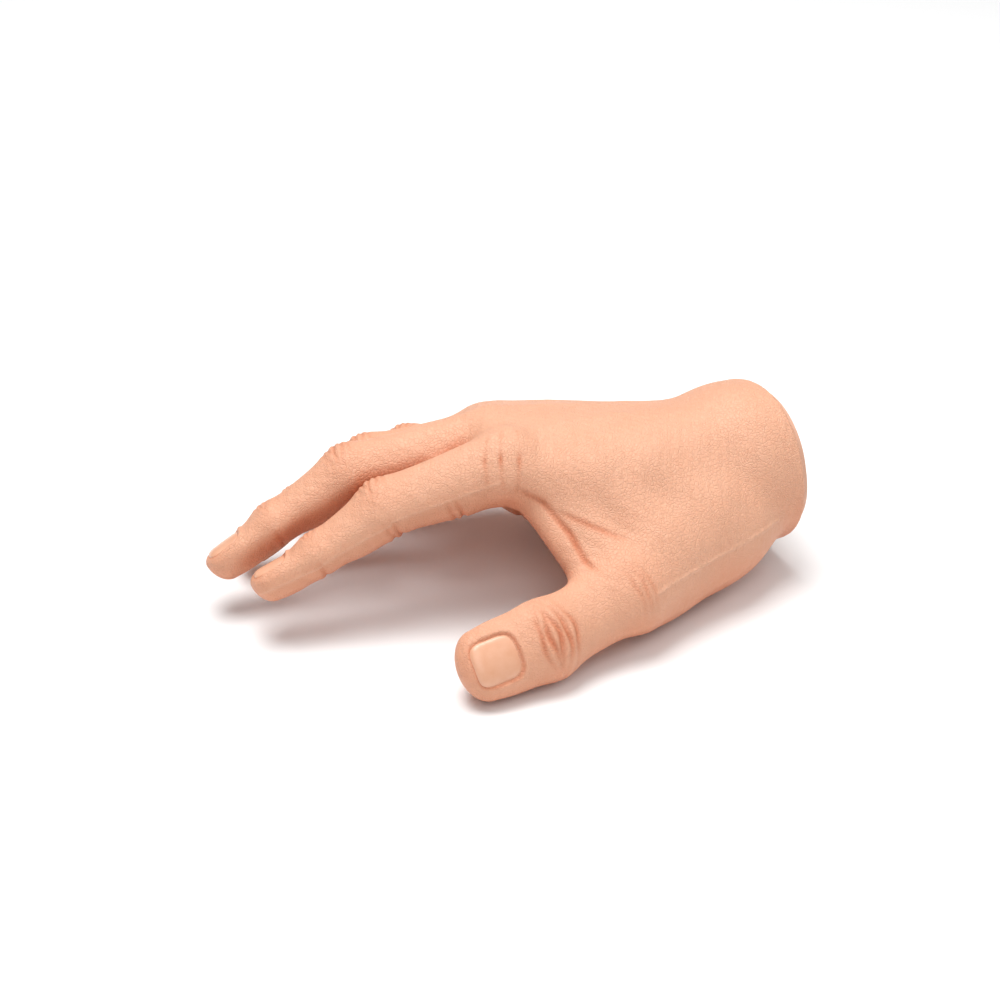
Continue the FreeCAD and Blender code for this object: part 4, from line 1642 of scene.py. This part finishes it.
def mottling_and_shade_group() -> bpy.types.NodeTree:
    """Shared group: the uneven colour of cast silicone, tinted by the masks with blush and with painted shade
    in crevices, creases and on the palm side.

    Returns:
        The group.
    """
    group = bpy.data.node_groups.new("silicone_mottling_and_shade", "ShaderNodeTree")
    for name, kind in (
        ("Place", "NodeSocketVector"),
        ("Blush_And_Underside_Shade", "NodeSocketFloat"),
        ("Crease_Shade", "NodeSocketFloat"),
        ("Open", "NodeSocketFloat"),
    ):
        group.interface.new_socket(name, in_out="INPUT", socket_type=kind)
    group.interface.new_socket("Colour", in_out="OUTPUT", socket_type="NodeSocketColor")
    group.interface.new_socket("Roughness", in_out="OUTPUT", socket_type="NodeSocketFloat")
    t = Tree(group)
    into = t.add("NodeGroupInput").outputs
    out = t.add("NodeGroupOutput")
    broad = t.noise(into["Place"], 42.0, 2.0)
    fine = t.noise(into["Place"], 420.0, 3.0)
    speck = t.noise(into["Place"], 1500.0, 2.0)
    pale = t.maths("MULTIPLY", t.maths("SUBTRACT", broad, 0.42, True), 1.1, True)
    tone = t.mix(pale, colour(Tint.SKIN), colour(Tint.PALE))
    red = t.maths("MULTIPLY", t.maths("SUBTRACT", fine, 0.5, True), 0.55, True)
    tone = t.mix(red, tone, colour(Tint.BLUSH_AND_SHADE))
    # Blush at knuckles and tips, with painted shade on the palm side.
    tone = t.mix(t.maths("MULTIPLY", into["Blush_And_Underside_Shade"], 0.62, True), tone, colour(Tint.BLUSH_AND_SHADE))
    # Painted shade: crevices darken towards the painted shade red where the space outside is closed.
    closed = t.maths("SUBTRACT", 1.0, into["Open"], True)
    closed = t.maths("MULTIPLY", t.maths("SUBTRACT", closed, 0.2, True), 1.7, True)
    tone = t.mix(t.maths("MULTIPLY", closed, 0.85, True), tone, colour(Tint.PAINTED_SHADE))
    # Painted shade in creases and nail grooves.
    tone = t.mix(t.maths("MULTIPLY", into["Crease_Shade"], 0.75, True), tone, colour(Tint.PAINTED_SHADE))
    t.set(out.inputs["Colour"], tone)
    t.set(out.inputs["Roughness"], t.maths("ADD", 0.47, t.maths("MULTIPLY", speck, 0.14)))
    return group


def pore_group() -> bpy.types.NodeTree:
    """Shared group: height of the fine crossed lines and pores copied from skin.

    Returns:
        The group.
    """
    group = bpy.data.node_groups.new("skin_grain", "ShaderNodeTree")
    group.interface.new_socket("Place", in_out="INPUT", socket_type="NodeSocketVector")
    group.interface.new_socket("Height", in_out="OUTPUT", socket_type="NodeSocketFloat")
    t = Tree(group)
    into = t.add("NodeGroupInput").outputs
    out = t.add("NodeGroupOutput")
    warp = t.add("ShaderNodeTexNoise", Vector=into["Place"], Scale=90.0, Detail=2.0)
    bent = t.add("ShaderNodeVectorMath", {"operation": "MULTIPLY_ADD"})
    t.set(bent.inputs[0], warp.outputs["Color"])
    t.set(bent.inputs[1], (0.004, 0.004, 0.004))
    t.set(bent.inputs[2], into["Place"])
    place = bent.outputs[0]
    total: object = 0.0
    for turn, scale in ((0.5, 620.0), (-0.75, 700.0)):
        spin = t.add("ShaderNodeVectorRotate", {"rotation_type": "Z_AXIS"}, Vector=place, Angle=turn)
        wave = t.add("ShaderNodeTexWave", Vector=spin.outputs[0], Scale=scale / 6.3, Distortion=1.0, Detail=1.5)
        total = t.maths("ADD", total, t.maths("MULTIPLY", wave.outputs["Fac"], 0.3))
    cells = t.add("ShaderNodeTexVoronoi", {"feature": "DISTANCE_TO_EDGE"}, Vector=place, Scale=850.0)
    cell = t.maths("MULTIPLY", t.maths("MINIMUM", cells.outputs["Distance"], 0.16), 3.0)
    grit = t.noise(into["Place"], 2600.0, 2.0)
    total = t.maths("ADD", total, t.maths("ADD", cell, t.maths("MULTIPLY", grit, 0.35)))
    t.set(out.inputs["Height"], total)
    return group


def silicone(name: str, mottling_and_shade: bpy.types.NodeTree, grain: bpy.types.NodeTree) -> bpy.types.Material:
    """The glove's tinted silicone.

    Args:
        name: the material's name.
        mottling_and_shade: the colour group, painted shade included.
        grain: the height group.

    Returns:
        The material.
    """
    material = bpy.data.materials.new(name)
    material.use_nodes = True
    t = Tree(material.node_tree)
    shader = material.node_tree.nodes["Principled BSDF"]
    place = t.add("ShaderNodeAttribute", {"attribute_name": "rest"}).outputs["Vector"]
    tone = t.add("ShaderNodeGroup", {"node_tree": mottling_and_shade}, Place=place)
    # Masks of blush and of painted shade in creases, crevices and on the palm side.
    for socket, mask in (("Blush_And_Underside_Shade", "blush_and_underside_shade"), ("Crease_Shade", "crease_shade"), ("Open", "open")):
        t.set(tone.inputs[socket], t.mask(mask))
    lines = t.add("ShaderNodeGroup", {"node_tree": grain}, Place=place)
    bump = t.add("ShaderNodeBump", Height=lines.outputs[0], Strength=0.8, Distance=0.00032)
    seam = t.maths("MULTIPLY", t.mask("seam"), 0.55, True)
    t.set(shader.inputs["Base Color"], t.mix(seam, tone.outputs["Colour"], colour(Tint.PALE)))
    t.set(shader.inputs["Roughness"], tone.outputs["Roughness"])
    t.set(shader.inputs["Normal"], bump.outputs[0])
    shader.inputs["Specular IOR Level"].default_value = 0.42
    shader.inputs["Subsurface Weight"].default_value = 0.05
    shader.inputs["Subsurface Radius"].default_value = (1.0, 0.42, 0.22)
    shader.inputs["Subsurface Scale"].default_value = 0.0022
    return material


def nail_material() -> bpy.types.Material:
    """The smooth, slightly glossy acrylic of the nails.

    Returns:
        The material.
    """
    material = bpy.data.materials.new("nail_acrylic")
    material.use_nodes = True
    t = Tree(material.node_tree)
    shader = material.node_tree.nodes["Principled BSDF"]
    place = t.add("ShaderNodeTexCoord").outputs["Object"]
    tone = t.mix(t.noise(place, 260.0), colour(Tint.NAIL), colour(Tint.PALE))
    bump = t.add("ShaderNodeBump", Height=t.noise(place, 900.0), Strength=0.12, Distance=0.0001)
    t.set(shader.inputs["Base Color"], tone)
    t.set(shader.inputs["Normal"], bump.outputs[0])
    shader.inputs["Roughness"].default_value = 0.33
    shader.inputs["Coat Weight"].default_value = 0.12
    return material


def plain(finish: Finish) -> bpy.types.Material:
    """A plain metal or plastic with a wandering roughness and a faint grain.

    Args:
        finish: what it looks like.

    Returns:
        The material.
    """
    material = bpy.data.materials.new(finish.name)
    material.use_nodes = True
    t = Tree(material.node_tree)
    shader = material.node_tree.nodes["Principled BSDF"]
    place = t.add("ShaderNodeTexCoord").outputs["Object"]
    grain = t.noise(place, finish.scale)
    rough = t.maths("ADD", finish.roughness - finish.grain / 2, t.maths("MULTIPLY", grain, finish.grain))
    dark = tuple(c * 0.86 for c in finish.tint.value) + (1.0,)
    bump = t.add("ShaderNodeBump", Height=grain, Strength=0.15, Distance=0.0001)
    t.set(shader.inputs["Base Color"], t.mix(t.noise(place, finish.scale / 12), colour(finish.tint), dark))
    t.set(shader.inputs["Roughness"], rough)
    t.set(shader.inputs["Normal"], bump.outputs[0])
    shader.inputs["Metallic"].default_value = finish.metallic
    return material


# ---------------------------------------------------------------------------------------------------------
# Studio
# ---------------------------------------------------------------------------------------------------------
@dataclass(frozen=True)
class Lamp:
    """A square soft light.

    Attributes:
        name: its name.
        place: where it is, in metres.
        size: its side.
        power: its power in watts.
    """

    name: str
    place: tuple[float, float, float]
    size: float
    power: float


LAMPS = (
    Lamp("key", (-0.20, 0.18, 1.15), 0.80, 16.5),
    Lamp("fill", (-0.55, -0.85, 0.95), 0.9, 5.0),
    Lamp("side", (0.75, -0.35, 0.85), 0.7, 3.0),
)


@dataclass(frozen=True)
class Studio:
    """Camera, lights and floor, in metres.

    Attributes:
        aim: the palm's start in the row frame.
        centre: the camera's target from there, before the wrist's bend.
        azimuth: the camera's angle round the hand, in degrees.
        elevation: its angle above the floor, in degrees.
        distance: its distance from the target.
        lens: its focal length in millimetres.
        floor_half: half the floor's side.
        surround: strength of the white surround's light.
        backdrop: what the camera sees of it beyond that.
    """

    aim: tuple[float, float, float] = (-0.0065, 0.0, 0.0)
    centre: tuple[float, float, float] = (-0.1008, -0.0884, 0.047)
    azimuth: float = -27.6
    elevation: float = 31.0
    distance: float = 0.7199
    lens: float = 87.15
    floor_half: float = 0.75
    surround: float = 0.2
    backdrop: float = 0.9

    def camera(self) -> None:
        """Puts the camera at the reference angle."""
        turn = Matrix.Rotation(math.radians(-WRIST_BEND), 3, "Z")
        target = turn @ Vector(self.centre) + Vector(self.aim)
        a, e = math.radians(self.azimuth), math.radians(self.elevation)
        back = Vector((math.sin(a) * math.cos(e), -math.cos(a) * math.cos(e), math.sin(e)))
        data = bpy.data.cameras.new("camera")
        data.lens, data.sensor_width = self.lens, 36.0
        data.clip_start, data.clip_end = 0.05, 20.0
        obj = bpy.data.objects.new("camera", data)
        obj.location = target + back * self.distance
        obj.rotation_mode = "QUATERNION"
        obj.rotation_quaternion = (-back).to_track_quat("-Z", "Y")
        bpy.context.scene.collection.objects.link(obj)
        bpy.context.scene.camera = obj

    def lights(self) -> None:
        """Soft studio light and a white surround."""
        aim = Vector((-0.09, 0.0, 0.0))
        for lamp in LAMPS:
            data = bpy.data.lights.new(lamp.name, "AREA")
            data.size, data.energy = lamp.size, lamp.power
            obj = bpy.data.objects.new(lamp.name, data)
            obj.location = lamp.place
            obj.rotation_mode = "QUATERNION"
            obj.rotation_quaternion = (aim - obj.location).to_track_quat("-Z", "Y")
            bpy.context.scene.collection.objects.link(obj)
        world = bpy.data.worlds.new("surround")
        world.use_nodes = True
        back = world.node_tree.nodes["Background"]
        back.inputs["Color"].default_value = (1.0, 1.0, 1.0, 1.0)
        t = Tree(world.node_tree)
        seen = t.add("ShaderNodeLightPath").outputs["Is Camera Ray"]
        strength = t.maths("ADD", self.surround, t.maths("MULTIPLY", seen, self.backdrop))
        t.set(back.inputs["Strength"], strength)
        bpy.context.scene.world = world
        bpy.context.scene.view_settings.view_transform = "Standard"

    def floor(self, height: float) -> None:
        """A plain white floor under the hand.

        Args:
            height: the floor's height.
        """
        material = bpy.data.materials.new("floor_white")
        material.use_nodes = True
        shader = material.node_tree.nodes["Principled BSDF"]
        shader.inputs["Base Color"].default_value = colour(Tint.FLOOR)
        shader.inputs["Roughness"].default_value = 0.9
        shader.inputs["Specular IOR Level"].default_value = 0.1
        side = self.floor_half
        square = np.array([(-side, -side), (side, -side), (side, side), (-side, side)])
        square = square + np.array([-0.1, 0.0])
        verts = np.column_stack([square, np.full(4, height)])
        floor = mesh_object("floor", verts, np.array([[0, 1, 2, 3]]), material, smooth=False)
        floor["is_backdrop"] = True


# ---------------------------------------------------------------------------------------------------------
# The whole scene
# ---------------------------------------------------------------------------------------------------------
def node_finish(name: str) -> Finish:
    """The finish of a CAD node that stays in sight.

    Args:
        name: the node's name.

    Returns:
        The finish.
    """
    if name == "wrist_plate":
        return PLATE
    if name == "thread_insert":
        return INSERT
    if name.endswith("_link"):
        return LINK
    if name in ("palm_frame", "thumb_bracket"):
        return FRAME
    return STEEL


def dress_nodes() -> None:
    """Gives each CAD node that no piece stands for its finish."""
    made: dict[str, bpy.types.Material] = {}
    for name, obj in sorted(frame["nodes"].items()):
        if obj.hide_render:
            continue
        finish = node_finish(name)
        if finish.name not in made:
            made[finish.name] = plain(finish)
        obj.data.materials.clear()
        obj.data.materials.append(made[finish.name])
        log.info("%s: %s", name, finish.name)


def corners(box: tuple[Vector, Vector]) -> list[list[float]]:
    """A box's corners as lists."""
    return [list(box[0]), list(box[1])]


def main() -> None:
    """Builds the hand, dresses it, and sets up the studio."""
    logging.basicConfig(level=logging.INFO, format="%(name)s %(message)s")
    before = corners(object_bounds())
    flesh = Flesh()
    glove = Glove(flesh, GRID)
    skin = silicone("tinted_silicone", mottling_and_shade_group(), pore_group())
    glove.build(skin)
    nails = Nails(flesh)
    acrylic = nail_material()
    for name in (*NAMES, "thumb"):
        nails.build(name, acrylic)
    dress_nodes()
    after = corners(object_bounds())
    studio = Studio()
    studio.camera()
    studio.lights()
    studio.floor(min(before[0][2], after[0][2]) - 0.0002)
    log.info("CAD %s, visual %s", before, after)


if __name__ == "__main__":
    main()
